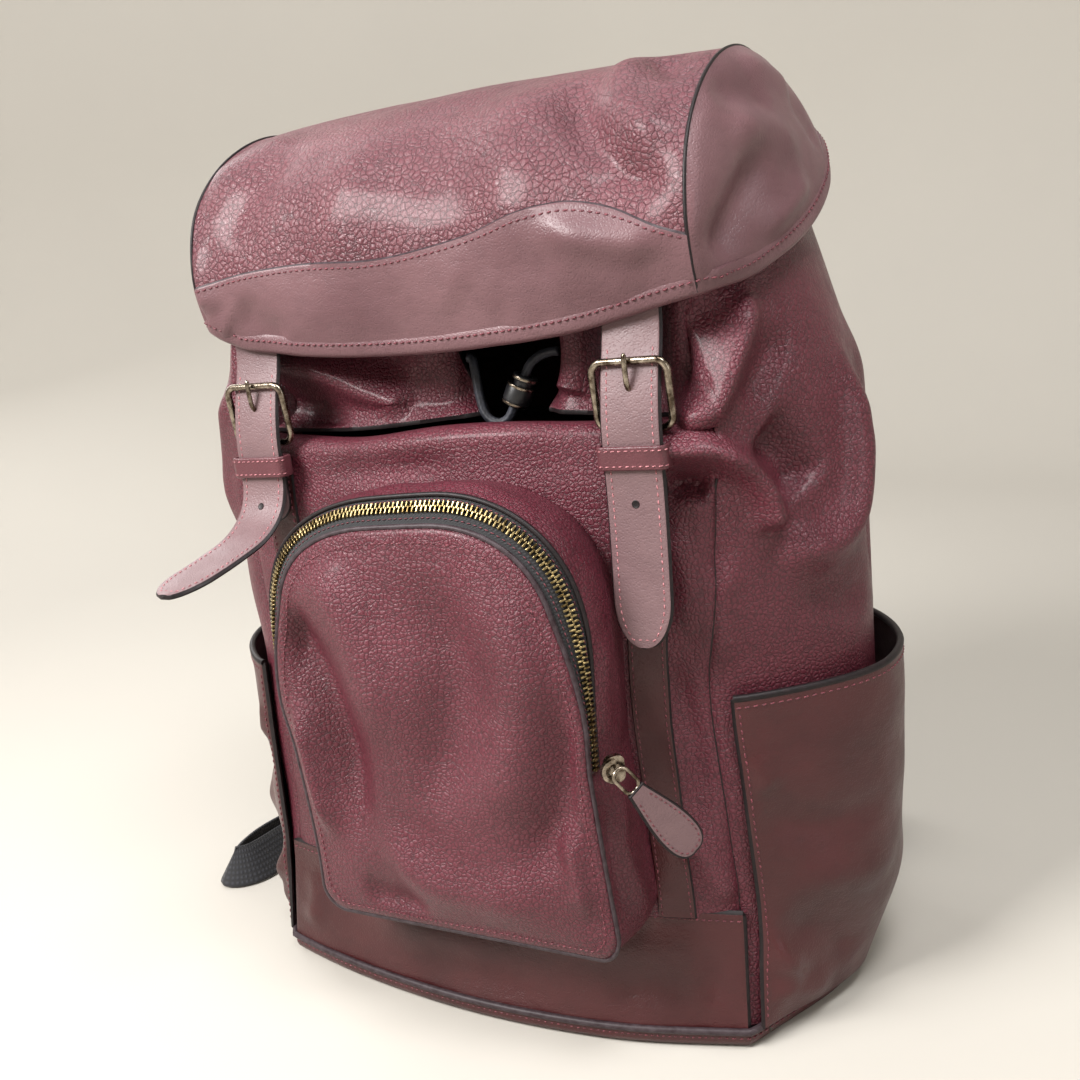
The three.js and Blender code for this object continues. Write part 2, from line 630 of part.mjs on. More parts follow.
// ---------------------------------------------------------------- flap
/** A smooth line through [x, y, z] places, read by a parameter that steps evenly from place to place. */
function smoothLine(places) {
  const curve = new THREE.CatmullRomCurve3(places.map((place) => new THREE.Vector3(...place)));
  return (t) => curve.getPoint(clamp(t, 0, 1));
}
const flapMiddle = smoothLine([
  [0, -86, 326], [0, -91, 350], [0, -91.5, 372], [0, -84, 398], [0, -66, 420],
  [0, -35, 434], [0, 0, 439], [0, 32, 432], [0, 52, 418], [0, 63, 403],
]);
const flapSeam = smoothLine([
  [128, -84, 338], [128, -89, 352], [128, -91, 370], [128, -83, 396], [128, -62, 417],
  [128, -32, 431], [128, 0, 435], [128, 31, 428], [128, 50, 416], [128, 62, 402],
]);
const flapEdge = smoothLine([
  [131, -81, 341], [136, -70, 346], [141, -57, 352], [146, -44, 358], [151, -32, 364],
  [155, -16, 370], [158, 0, 376], [158, 18, 381], [151, 38, 389], [138, 60, 400],
]);

/** The whole flap: |u| to 1 is the top, 1 to 2 the side hoods; s runs from the front edge to the hinge. */
function flapSurface(u, s) {
  const across = Math.abs(u);
  const point = flapSeam(s);
  if (across <= 1) {
    point.lerpVectors(flapMiddle(s), point, across * across);
    point.x = across * FLAP_SEAM_X;
  } else {
    const turn = (across - 1) * Math.PI / 2;
    const edge = flapEdge(s);
    point.set(
      lerp(point.x, edge.x, Math.sin(turn)),
      lerp(point.y, edge.y, 1 - Math.cos(turn)),
      lerp(point.z, edge.z, 1 - Math.cos(turn)),
    );
  }
  point.x *= Math.sign(u) || 1;
  return point;
}

/** Where the wavy seam between the front band and the flap top runs. */
function waveSeam(u) {
  return 0.215 + 0.022 * Math.sin(Math.PI * (u * 0.9 + 0.25)) - 0.035 * u;
}
const bandSurface = (u, v) => flapSurface(u, v * (waveSeam(u) - 0.0012));
const topSurface = (u, v) => flapSurface(u, lerp(waveSeam(u) + 0.0012, 1, v));
const FLAP = { outer: 0, inner: -LEATHER };
add('flap_front_band', sheet(bandSurface, {
  u: [-0.997, 0.997], v: [0.002, 1], ...FLAP, steps: [12, 3],
}), 'smooth');
add('flap_top', sheet(topSurface, { u: [-0.997, 0.997], v: [0, 1], ...FLAP, steps: [12, 11] }), 'pebbled');
addPair('flap_hood', sheet(flapSurface, { u: [1.006, 2], v: [0.006, 1], ...FLAP, steps: [4, 12] }), 'smooth');
add('flap_lining', sheet(flapSurface, {
  u: [-0.95, 0.95],
  v: [0.14, 0.95],
  outer: -LEATHER - 3 * GAP,
  inner: -LEATHER - 3 * GAP - LINING.thickness,
  steps: [8, 8],
}), 'lining');

// ---------------------------------------------------------------- closure straps
const STRAP_HEAD = [[-80.7, 330.5], [-83.2, 321], [-86.6, 312], [-89.8, 301], [-91.9, 290], [-92.7, 278]];
const TAILS = {
  right: [[-92.9, 266], [-94.3, 245], [-97, 220], [-100, 198]],
  left: [[-93.2, 268], [-98, 256], [-108.5, 246.5], [-127, 240], [-160, 233]],
};

/** A strap hanging in the plane of its closure, with a rounded point at its free end. */
function closureStrap(tail) {
  const curve = new THREE.CatmullRomCurve3(
    [...STRAP_HEAD, ...tail].map(([y, z]) => new THREE.Vector3(0, y, z)), false, 'centripetal',
  );
  const length = curve.getLength();
  const strapSurface = (u, v) => {
    const point = curve.getPointAt(clamp(1 - v, 0, 1));
    const fromTip = clamp(v, 0, 1) * length;
    const pastTip = Math.max(STRAP_TIP - fromTip, 0) / (STRAP_TIP * 1.03);
    const narrowing = Math.sqrt(1 - pastTip ** 2);
    point.x = CLOSURE_X + u * CLOSURE_WIDTH / 2 * narrowing;
    return point;
  };
  return sheet(strapSurface, {
    u: [-1, 1], v: [0, 1], outer: STRAP_THICKNESS / 2, inner: -STRAP_THICKNESS / 2, steps: [2, 20],
  });
}
const holeDrills = [
  discAlongY(PRONG_HOLE.radius, CLOSURE_X, -100, -80, PRONG_HOLE.z, 12),
  discAlongY(PRONG_HOLE.radius * 0.9, CLOSURE_X, -100, -80, PRONG_HOLE.z - PRONG_HOLE.drop, 12),
  discAlongY(SPARE_HOLE.radius, CLOSURE_X, -110, -80, SPARE_HOLE.z, 10),
];
add('closure_strap_right', cut(closureStrap(TAILS.right), ...holeDrills), 'strap');
add('closure_strap_left', mirrored(cut(closureStrap(TAILS.left), ...holeDrills)), 'strap');

const BAR_RADIUS = 1.6;
const BUCKLE = { width: 33, height: 28, corner: 5, tilt: 0.093 };
const BOTTOM_BAR = new THREE.Vector3(0, -86.2, BUCKLE_Z - BUCKLE.height / 2);
const frame = wireLoop(BUCKLE.width, BUCKLE.height, BUCKLE.corner, BAR_RADIUS, 32)
  .rotateX(Math.PI / 2).translate(0, 0, BUCKLE.height / 2).rotateX(BUCKLE.tilt);
addPair('buckle_frame', frame.translate(CLOSURE_X, BOTTOM_BAR.y, BOTTOM_BAR.z), 'nickel');

// The prong hooks round the bottom bar, comes forward through the strap's hole and rests on the top bar.
const prongCurve = new THREE.CatmullRomCurve3([
  [-86.4, 290.6], [-86.5, 295], [-86.7, 300], [-88.5, 303], [-91.4, 306.4], [-92.1, 311], [-91.9, 318],
].map(([y, z]) => new THREE.Vector3(0, y, z)));
const prongRod = new THREE.CylinderGeometry(0.85, 1, 1, 6, 9).rotateX(Math.PI / 2);

/** Bends a rod that stands on Z along a curve in the YZ plane. */
function bendAlong(geometry, curve) {
  const position = geometry.attributes.position;
  for (let i = 0; i < position.count; i += 1) {
    const t = clamp(position.getZ(i) + 0.5, 0, 1);
    const point = curve.getPointAt(t);
    const along = curve.getTangentAt(t);
    const across = position.getY(i);
    position.setXYZ(i, position.getX(i), point.y + along.z * across, point.z - along.y * across);
  }
  return geometry;
}
const prongEye = new THREE.TorusGeometry(2.85, 0.75, 6, 14).rotateY(Math.PI / 2)
  .translate(0, BOTTOM_BAR.y, BOTTOM_BAR.z);
addPair('buckle_prong', join(bendAlong(prongRod, prongCurve), prongEye).translate(CLOSURE_X, 0, 0), 'nickel');

const keeperRing = roundedRectangle(...KEEPER.outer, 2);
keeperRing.holes.push(new THREE.Path(roundedRectangle(...KEEPER.inner, 1).getPoints(3)));
addPair('strap_keeper', new THREE.ExtrudeGeometry(keeperRing, {
  depth: KEEPER.height, bevelEnabled: false, curveSegments: 3,
}).translate(CLOSURE_X, KEEPER.y, KEEPER_Z), 'strap');

const tabShape = new THREE.Shape();
tabShape.moveTo(-SNAP_TAB.half, SNAP_TAB.top);
tabShape.lineTo(-SNAP_TAB.half, SNAP_Z);
tabShape.absarc(0, SNAP_Z, SNAP_TAB.half, Math.PI, Math.PI * 2);
tabShape.lineTo(SNAP_TAB.half, SNAP_TAB.top);
const tab = extrudeForward(tabShape, SNAP_TAB.back, SNAP_TAB.front, 6).translate(CLOSURE_X, 0, 0);
addPair('closure_tab', tab, 'strap');
addPair('snap_cap', discAlongY(SNAP.radius, CLOSURE_X, ...SNAP.cap, SNAP_Z), 'nickel');
addPair('snap_socket', discAlongY(SNAP.radius, CLOSURE_X, ...SNAP.socket, SNAP_Z), 'nickel');

// ---------------------------------------------------------------- handle and shoulder straps
const handleCurve = smoothLine([
  [-36, 71.5, 386], [-35.5, 73.6, 376], [-33, 76.6, 358], [-22, 79, 344], [0, 79.8, 339],
  [22, 79, 344], [33, 76.6, 358], [35.5, 73.6, 376], [36, 71.5, 386],
]);

/** A strap about its middle line, wide across and thin through, facing the back. */
function ribbon(line, sideways, width, thickness, steps) {
  const surface = (u, v) => {
    const ahead = line(Math.min(v + 1e-3, 1));
    const along = ahead.sub(line(Math.max(v - 1e-3, 0))).normalize();
    const side = sideways(v).addScaledVector(along, -sideways(v).dot(along)).normalize();
    const across = typeof width === 'function' ? width(v) : width;
    return line(v).addScaledVector(side, across / 2 * u);
  };
  return sheet(surface, {
    u: [-1, 1], v: [0, 1], outer: thickness / 2, inner: -thickness / 2, steps,
  });
}
const facingBack = (t) => {
  const along = handleCurve(Math.min(t + 1e-3, 1)).sub(handleCurve(Math.max(t - 1e-3, 0))).normalize();
  return new THREE.Vector3(0, 1, 0).cross(along);
};
add('handle', ribbon(handleCurve, facingBack, ...HANDLE_SECTION, [1, 18]), 'brown');

const padLine = smoothLine([
  PAD_TOP.toArray(), [73.5, 83.5, 330], [75, 85.5, 270], [78, 86, 205], PAD_END.toArray(),
]);
const acrossX = () => new THREE.Vector3(1, 0, 0);
const padWidth = (v) => lerp(...PAD_WIDTH, smoothstep(v, 0.2, 1)) * (1 - 0.25 * smoothstep(v, 0.93, 1));
addPair('shoulder_pad', ribbon(padLine, acrossX, padWidth, PAD_THICKNESS, [2, 8]), 'foam');

const lockFrame = wireLoop(LADDER_LOCK.width, LADDER_LOCK.height, LADDER_LOCK.corner, LADDER_LOCK.wire, 24)
  .rotateX(Math.PI / 2).translate(PAD_END.x, PAD_END.y, LADDER_LOCK.z);
const lockBar = new THREE.CylinderGeometry(LADDER_LOCK.bar, LADDER_LOCK.bar, LADDER_LOCK.width - 1, 6)
  .rotateZ(Math.PI / 2).translate(PAD_END.x, PAD_END.y, LADDER_LOCK.z);
addPair('ladder_lock', join(lockFrame, lockBar), 'nickel');

const hangingWeb = smoothLine([
  [84, 88, 134], [84, 88.2, 118], [84.5, 88.4, 90], [85.5, 89, 62], [86.5, 89.6, 42],
]);
addPair('strap_webbing', ribbon(hangingWeb, acrossX, WEBBING_WIDTH, WEBBING_THICKNESS, [1, 6]), 'webbing');

// Lower webbing: sewn into a corner tab, it lies in a slack bend on the ground behind the bag.
const cornerTab = new THREE.Shape();
cornerTab.moveTo(-ANCHOR.foot, 0);
cornerTab.lineTo(ANCHOR.foot, 0);
cornerTab.lineTo(ANCHOR.top, ANCHOR.height);
cornerTab.lineTo(-ANCHOR.top, ANCHOR.height);
cornerTab.closePath();
const anchor = extrudeForward(cornerTab, ANCHOR.back, ANCHOR.front).translate(ANCHOR.x, 0, ANCHOR.z);
addPair('webbing_anchor', anchor, 'brown');

/** Webbing that turns from flat against the bag to lean on its edge on the ground, and back. */
function groundWebbing(line, first, last) {
  const sideways = (v) => {
    const lean = smoothstep(v, 0, 0.25) * (1 - smoothstep(v, 0.75, 1));
    const along = line(Math.min(v + 1e-3, 1)).sub(line(Math.max(v - 1e-3, 0))).normalize();
    const flat = new THREE.Vector3(0, 0, 1).cross(along).normalize();
    const leaning = flat.multiplyScalar(-0.55).add(new THREE.Vector3(0, 0, 0.83)).normalize();
    return (v < 0.5 ? first : last).clone().lerp(leaning, lean).normalize();
  };
  return ribbon(line, sideways, WEBBING_WIDTH, WEBBING_THICKNESS, [1, 24]);
}
const rightRoute = smoothLine([
  [104, 71.6, 31], [104.5, 79, 20], [113, 91, 13], [132, 98, 11.4], [147, 114, 11.4], [142, 134, 11.4],
  [120, 138, 11.4], [103, 124, 12], [94, 109, 15], [89, 99.5, 22],
]);
const leftRoute = smoothLine([
  [-104, 71.6, 31], [-104.5, 75, 20], [-114, 85, 13], [-146, 84, 11.4], [-180, 52, 11.4], [-204, 0, 11.4],
  [-214, -40, 11.4], [-226, -46, 11.4], [-232, -18, 11.4], [-214, 40, 11.4], [-178, 96, 11.4],
  [-128, 124, 11.6], [-98, 113, 15], [-89, 99.5, 22],
]);
const leftward = new THREE.Vector3(-1, 0, 0);
const rightward = new THREE.Vector3(1, 0, 0);
add('ground_webbing_right', groundWebbing(rightRoute, leftward, rightward), 'webbing');
add('ground_webbing_left', groundWebbing(leftRoute, leftward, rightward), 'webbing');

export default bag;
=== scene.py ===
"""A flap-top leather backpack: leather, stitching, zip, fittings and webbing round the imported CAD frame.

Lengths in this script are millimetres, and are scaled to metres where a mesh is made.
+X is the bag's right seen from the front, -Y is its front, and Z is up from the ground.
"""
import copy
import math

import bmesh
import bpy
import numpy as np
from mathutils import Matrix, Vector, noise


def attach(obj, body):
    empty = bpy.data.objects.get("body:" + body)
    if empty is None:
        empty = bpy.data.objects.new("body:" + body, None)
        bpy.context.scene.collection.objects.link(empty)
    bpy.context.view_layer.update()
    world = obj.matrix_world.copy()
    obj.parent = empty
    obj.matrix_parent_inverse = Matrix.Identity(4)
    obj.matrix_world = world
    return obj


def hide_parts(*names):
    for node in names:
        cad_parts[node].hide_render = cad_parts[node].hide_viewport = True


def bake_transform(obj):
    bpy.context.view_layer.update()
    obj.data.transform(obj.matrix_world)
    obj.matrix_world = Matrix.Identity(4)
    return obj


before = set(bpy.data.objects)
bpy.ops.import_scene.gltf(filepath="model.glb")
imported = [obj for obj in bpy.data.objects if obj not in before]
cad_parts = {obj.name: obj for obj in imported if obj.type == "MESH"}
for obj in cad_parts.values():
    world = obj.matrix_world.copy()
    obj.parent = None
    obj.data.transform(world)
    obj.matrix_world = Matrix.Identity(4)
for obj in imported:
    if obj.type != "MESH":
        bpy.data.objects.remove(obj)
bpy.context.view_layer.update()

MM = 0.001

# ---------------------------------------------------------------- dimensions shared with the CAD part
LEATHER = 3.0
BACK_Y = 60.0
BACK_BULGE = 5.0
BASE_LIP_Z = 9.0
BASE_SEAM_Z = 60.0
POCKET_TOP_Z = 166.0
FOLD_Z = 284.0
FOLD_R = 7.0
FOLD_RUN = 4.0
SIDE_TOP_Z = 368.0
BACK_TOP_Z = 398.0
FLAP_SEAM_X = 128.0
CLOSURE_X = 97.5
STRAP_WIDTH = 25.0
STRAP_THICKNESS = 2.4
BAND_X = 96.5
BAND_WIDTH = 19.0
CORD_RADIUS = 2.2
SIDES = ((1, "right"), (-1, "left"))


# ---------------------------------------------------------------- numbers and lines
def unit(a):
    return a / np.maximum(np.linalg.norm(a, axis=-1, keepdims=True), 1e-9)


def lerp(a, b, t):
    return a + (b - a) * t


def smoothstep(x, low, high):
    t = np.clip((np.asarray(x, float) - low) / (high - low), 0, 1)
    return t * t * (3 - 2 * t)


def run_along(points):
    """The length along a line of points, up to each of them."""
    return np.concatenate([[0], np.cumsum(np.linalg.norm(np.diff(points, axis=0), axis=1))])


def loop_tangent(points):
    """The direction of a closed loop of points, at each of them."""
    return unit(np.roll(points, -1, axis=0) - np.roll(points, 1, axis=0))


def stations(*pairs, soften=10.0):
    """A value that runs between stations of (place, value), with its corners softened."""
    places, values = np.array(pairs, float).T
    shifts = np.linspace(-soften, soften, 7)
    return lambda at: np.mean([np.interp(at + d, places, values) for d in shifts], axis=0)


class Line:
    """A smooth centripetal line through places. t from 0 to 1 steps evenly from place to place."""

    def __init__(self, places):
        self.places = np.array(places, float)
        first, second = self.places[:2]
        last, before = self.places[-1], self.places[-2]
        self.padded = np.vstack([2 * first - second, self.places, 2 * last - before])
        self.steps = np.linspace(0, 1, 30 * len(self.places))
        fine = self(self.steps)
        self.run = run_along(fine)
        self.length = self.run[-1]

    def __call__(self, t):
        t = np.clip(np.asarray(t, float), 0, 1)
        last = len(self.places) - 1
        i = np.clip((t * last).astype(int), 0, last - 1)
        w = (t * last - i)[..., None]
        p0, p1, p2, p3 = (self.padded[i + k] for k in range(4))
        spans = ((p0, p1), (p1, p2), (p2, p3))
        gaps = [np.sqrt(np.linalg.norm(b - a, axis=-1, keepdims=True)) for a, b in spans]
        d0, d1, d2 = (np.maximum(g, 1e-6) for g in gaps)
        leave = ((p1 - p0) / d0 - (p2 - p0) / (d0 + d1) + (p2 - p1) / d1) * d1
        reach = ((p2 - p1) / d1 - (p3 - p1) / (d1 + d2) + (p3 - p2) / d2) * d1
        curve = leave * w + (3 * (p2 - p1) - 2 * leave - reach) * w**2
        return p1 + curve + (2 * (p1 - p2) + leave + reach) * w**3

    def even(self, share):
        """The place at that share of the line's length."""
        return self(np.interp(np.asarray(share, float) * self.length, self.run, self.steps))

    def tangent(self, share, step=2e-3):
        return unit(self.even(np.clip(share + step, 0, 1)) - self.even(np.clip(share - step, 0, 1)))


class Fold:
    """A ridge in the leather along a line of (x, y, z) places, or a dent where its height is negative."""

    def __init__(self, places, width, height, ends=0.3):
        self.points = Line(places)(np.linspace(0, 1, 6 * len(places)))
        self.width = width
        self.height = height
        self.ends = ends

    def __call__(self, p):
        nearest = np.full(len(p), 1e9)
        share = np.zeros(len(p))
        spans = len(self.points) - 1
        for k in range(spans):
            start, step = self.points[k], self.points[k + 1] - self.points[k]
            t = np.clip((p - start) @ step / max(step @ step, 1e-9), 0, 1)
            distance = np.linalg.norm(p - start - t[:, None] * step, axis=1)
            closer = distance < nearest
            nearest[closer] = distance[closer]
            share[closer] = (k + t[closer]) / spans
        taper = smoothstep(np.minimum(share, 1 - share), -0.02, self.ends)
        return self.height * taper * np.exp(-((nearest / self.width) ** 2))

    def mirrored(self):
        """The same fold on the bag's other side."""
        twin = copy.copy(self)
        twin.points = self.points * [-1, 1, 1]
        return twin


def slouch(p, size, height, seed=0.0):
    """Gentle unevenness of soft leather: up to height, over lengths of about size."""
    offset = Vector((seed, 3.1 * seed, -1.7 * seed))
    values = [noise.noise(Vector(q) / size + offset) for q in p]
    return height * np.array(values)


# ---------------------------------------------------------------- materials
class Shader:
    """A procedural material: named textures wired into one Principled shader."""

    def __init__(self, name, space="Object"):
        self.material = bpy.data.materials.new(name)
        self.material.use_nodes = True
        self.nodes = self.material.node_tree.nodes
        self.links = self.material.node_tree.links
        self.shader = self.nodes["Principled BSDF"]
        self.coords = self.nodes.new("ShaderNodeTexCoord").outputs[space]

    def add(self, kind, **values):
        node = self.nodes.new("ShaderNode" + kind)
        for key, value in values.items():
            if hasattr(node, key):
                setattr(node, key, value)
            else:
                self.put(value, node.inputs[key.replace("_", " ")])
        return node

    def put(self, value, socket):
        if isinstance(value, bpy.types.NodeSocket):
            self.links.new(value, socket)
        else:
            socket.default_value = value

    def set(self, **values):
        for key, value in values.items():
            self.put(value, self.shader.inputs[key.replace("_", " ")])
        return self

    def noise(self, size, detail=3.0, stretch=(1, 1, 1), rough=0.5):
        place = self.add("Mapping", Vector=self.coords, Scale=tuple(s / (size * MM) for s in stretch))
        node = self.add("TexNoise", Vector=place.outputs[0], Scale=1.0, Detail=detail, Roughness=rough)
        return node.outputs[0]

    def cells(self, size, feature="F1", wobble=0.25):
        """Voronoi cells of that size in mm, with wavy borders."""
        place = self.add("Mapping", Vector=self.coords, Scale=(1 / (size * MM),) * 3)
        wave = self.add("TexNoise", Vector=place.outputs[0], Scale=0.9, Detail=2.0)
        shift = self.add("VectorMath", operation="SCALE", Vector=wave.outputs["Color"], Scale=wobble * 2)
        moved = self.add("VectorMath", operation="ADD")
        self.put(place.outputs[0], moved.inputs[0])
        self.put(shift.outputs[0], moved.inputs[1])
        texture = self.add("TexVoronoi", feature=feature, Vector=moved.outputs[0], Scale=1.0)
        return texture.outputs["Distance"]

    def ramp(self, value, low, high, start=0.0, end=1.0):
        out = self.add("MapRange", Value=value, From_Min=low, From_Max=high, To_Min=start, To_Max=end)
        return out.outputs[0]

    def math(self, operation, a, b=0.0):
        node = self.add("Math", operation=operation)
        self.put(a, node.inputs[0])
        self.put(b, node.inputs[1])
        return node.outputs[0]

    def mix(self, share, a, b):
        node = self.add("Mix", data_type="RGBA")
        colours = [s for s in node.inputs if s.type == "RGBA"]
        self.put(share, node.inputs["Factor"])
        self.put(a, colours[0])
        self.put(b, colours[1])
        return next(s for s in node.outputs if s.type == "RGBA")

    def bump(self, height, depth, strength=1.0, under=None):
        """Relief of that depth in mm for heights from 0 to 1."""
        node = self.add("Bump", Height=height, Strength=strength, Distance=depth * MM)
        if under is not None:
            self.put(under, node.inputs["Normal"])
        return node.outputs[0]


def srgb(r, g, b):
    """A colour given in 0 to 255, as the shader's linear RGBA."""
    channels = [c / 255 for c in (r, g, b)]
    linear = [c / 12.92 if c <= 0.04045 else ((c + 0.055) / 1.055) ** 2.4 for c in channels]
    return (*linear, 1.0)


def pebbled_leather(name, colour, light, crease, grain=2.1, depth=0.46):
    """Full-grain leather with rounded pebbles: a painted highlight makes the tops pale, and painted shade makes the
    creases between them dark.
    """
    s = Shader(name)
    border = s.cells(grain, "DISTANCE_TO_EDGE", 0.22)
    dome = s.math("POWER", s.ramp(border, 0.0, 0.4), 0.55)
    small = s.ramp(s.cells(grain * 0.45, "DISTANCE_TO_EDGE", 0.3), 0.0, 0.25)
    patches = s.ramp(s.noise(44, 3.0), 0.25, 0.75)
    tone = s.mix(patches, colour, light)
    # Painted shade: the crease colour darkens the creases between the pebbles.
    tone = s.mix(s.ramp(border, 0.0, 0.11, 0.6, 0.0), tone, crease)
    # Painted highlight: the light colour, which above also gives the random paler patches, brightens the pebble tops
    # as a sheen.
    tone = s.mix(s.ramp(border, 0.2, 0.42, 0.0, 0.3), tone, light)
    relief = s.math("ADD", s.math("MULTIPLY", dome, 0.8), s.math("MULTIPLY", small, 0.2))
    coarse = s.bump(s.noise(12, 2.0), 0.9, 0.5)
    gloss = s.ramp(s.noise(9, 3.0), 0.3, 0.7, 0.36, 0.5)
    s.set(Base_Color=tone, Roughness=gloss, Normal=s.bump(relief, depth, 1.0, coarse))
    return s.set(Specular_IOR_Level=0.42, Coat_Weight=0.1, Coat_Roughness=0.2).material


def smooth_leather(name, colour, light, dark, roughness=0.4, crease=0.5):
    """Close-grained leather: fine pores and faint creases, both darkened with painted shade, and a soft mottled
    tone.
    """
    s = Shader(name)
    patches = s.ramp(s.noise(50, 4.0), 0.3, 0.7)
    tone = s.mix(patches, colour, light)
    pores = s.ramp(s.cells(1.0, "F1", 0.3), 0.05, 0.55)
    # Painted shade: the dark colour darkens the pores, where the bump sinks.
    tone = s.mix(s.ramp(pores, 0.0, 0.35, 0.35, 0.0), tone, dark)
    lines = s.ramp(s.noise(9, 5.0, (1, 1, 1.7), 0.55), 0.36, 0.64)
    # Painted shade: the dark colour darkens the faint creases, where the bump sinks.
    tone = s.mix(s.ramp(lines, 0.0, 0.5, 0.1, 0.0), tone, dark)
    fine = s.bump(pores, 0.12, 0.9)
    soft = s.bump(lines, 0.35 * crease, 0.7, fine)
    gloss = s.ramp(s.noise(16, 4.0), 0.3, 0.7, roughness - 0.05, roughness + 0.1)
    s.set(Base_Color=tone, Roughness=gloss, Normal=soft)
    return s.set(Specular_IOR_Level=0.4, Coat_Weight=0.06, Coat_Roughness=0.35).material


def edge_paint(name, colour, worn):
    """Wax-like paint on a cut leather edge, slightly uneven."""
    s = Shader(name)
    tone = s.mix(s.ramp(s.noise(3, 3.0), 0.35, 0.7), colour, worn)
    s.set(Base_Color=tone, Roughness=0.5, Normal=s.bump(s.noise(1.4, 2.0), 0.12, 0.6))
    return s.set(Specular_IOR_Level=0.3).material


def thread(name, colour, dark):
    """Waxed thread with the twist of its plies."""
    s = Shader(name)
    twist = s.noise(0.5, 1.0)
    # Painted shade: the dark colour darkens the grooves of the twist, where the bump sinks.
    tone = s.mix(s.ramp(twist, 0.4, 0.62), dark, colour)
    return s.set(Base_Color=tone, Roughness=0.55, Normal=s.bump(twist, 0.1, 0.8)).material


def metal(name, colour, patina, roughness):
    """Plated metal with darker patina in patches and fine scratches."""
    s = Shader(name)
    worn = s.ramp(s.noise(3.5, 5.0), 0.38, 0.68)
    tone = s.mix(worn, patina, colour)
    scratch = s.noise(0.9, 4.0, (1, 1, 6))
    gloss = s.ramp(scratch, 0.35, 0.7, roughness - 0.08, roughness + 0.14)
    s.set(Base_Color=tone, Roughness=gloss, Normal=s.bump(scratch, 0.03, 0.5))
    return s.set(Metallic=1.0).material


def woven(name, colour, light, across, along, depth=0.22, roughness=0.8):
    """A woven band: ribs across and along it, in its own UV lengths in metres."""
    s = Shader(name, "UV")
    ribs = []
    for direction, pitch in (("X", across), ("Y", along)):
        scale = 1 / (pitch * MM) / 6.3
        wave = s.add("TexWave", Vector=s.coords, wave_type="BANDS", bands_direction=direction, Scale=scale)
        ribs.append(wave.outputs["Fac"])
    grid = s.math("MULTIPLY", *ribs)
    # Painted highlight: the light colour brightens the raised ribs.
    tone = s.mix(grid, colour, light)
    s.set(Base_Color=tone, Roughness=roughness, Normal=s.bump(grid, depth, 0.9))
    return s.set(Sheen_Weight=0.15, Sheen_Roughness=0.5).material


def cloth(name, colour, light, pitch=0.7):
    """Plain cloth with a fine, close weave."""
    s = Shader(name)
    weave = s.cells(pitch, "F1", 0.1)
    tone = s.mix(s.ramp(s.noise(25, 4.0), 0.3, 0.7), colour, light)
    s.set(Base_Color=tone, Roughness=0.85, Normal=s.bump(weave, 0.12, 0.7))
    return s.set(Sheen_Weight=0.2, Sheen_Roughness=0.4).material


def plastic(name, colour, light, roughness=0.35):
    """Moulded plastic with a slightly uneven tone and skin."""
    s = Shader(name)
    tone = s.mix(s.ramp(s.noise(4, 3.0), 0.3, 0.7), colour, light)
    return s.set(Base_Color=tone, Roughness=roughness, Normal=s.bump(s.noise(0.6, 2.0), 0.02, 0.5)).material


# In each pebbled leather (these two and padded_burgundy) the second colour gives the paler patches and also the
# painted highlight on the pebble tops; the third is painted shade in the creases.
PEBBLED = pebbled_leather("pebbled_burgundy", srgb(78, 22, 35), srgb(96, 40, 52), srgb(24, 4, 10))
# The flap's pebbled leather: its colours are lighter and greyer than the body's, as a painted sheen on the flap top,
# which faces the light. Its coarser grain is its own.
PEBBLED_FLAP_PAINTED_SHEEN = pebbled_leather(
    "pebbled_flap_painted_sheen", srgb(84, 40, 49), srgb(104, 60, 67), srgb(36, 12, 19), grain=2.8, depth=0.6)
# In each smooth leather the third colour is painted shade in the pores and creases.
SMOOTH = smooth_leather("smooth_mauve", srgb(90, 60, 65), srgb(106, 76, 80), srgb(54, 30, 35), 0.42, 0.35)
BROWN = smooth_leather("smooth_brown", srgb(54, 18, 20), srgb(70, 28, 30), srgb(24, 6, 8), 0.36, 0.6)
STRAP = smooth_leather("strap_mauve", srgb(98, 74, 77), srgb(112, 88, 90), srgb(62, 42, 47), 0.44, 0.25)
KEEPER = smooth_leather("keeper_burgundy", srgb(76, 38, 44), srgb(94, 52, 58), srgb(42, 18, 22), 0.34, 0.4)
SUEDE = smooth_leather("leather_backing", srgb(44, 22, 25), srgb(58, 32, 35), srgb(24, 10, 12), 0.7, 0.6)
PADDED = pebbled_leather("padded_burgundy", srgb(50, 18, 26), srgb(66, 28, 36), srgb(22, 6, 10), 2.2, 0.3)
EDGE = edge_paint("edge_black", srgb(16, 11, 13), srgb(30, 20, 22))
EDGE_GREY = edge_paint("edge_bevel", srgb(62, 52, 56), srgb(40, 26, 30))
# The second colour of each thread is painted shade in the grooves of its twist.
THREAD = thread("thread_burgundy", srgb(124, 58, 68), srgb(60, 20, 30))
THREAD_ROSE = thread("thread_rose", srgb(196, 130, 136), srgb(112, 60, 66))
NICKEL = metal("antique_nickel", srgb(176, 164, 148), srgb(84, 72, 60), 0.22)
BRASS = metal("antique_brass", srgb(190, 170, 124), srgb(92, 76, 46), 0.3)
# The second colour of each woven band is a painted highlight on its raised ribs.
TAPE = woven("zip_tape", srgb(14, 14, 17), srgb(38, 38, 42), 0.8, 1.0, 0.25)
WEBBING = woven("webbing", srgb(16, 16, 20), srgb(40, 41, 48), 1.6, 1.1, 0.3)
BRAID = plastic("drawcord", srgb(20, 21, 27), srgb(44, 46, 56), 0.6)
LINING = cloth("lining_cloth", srgb(24, 23, 27), srgb(40, 38, 43))
BOARD = cloth("base_board", srgb(52, 48, 44), srgb(70, 66, 60), 1.4)
BLACK_PLASTIC = plastic("black_plastic", srgb(14, 14, 16), srgb(30, 30, 33))


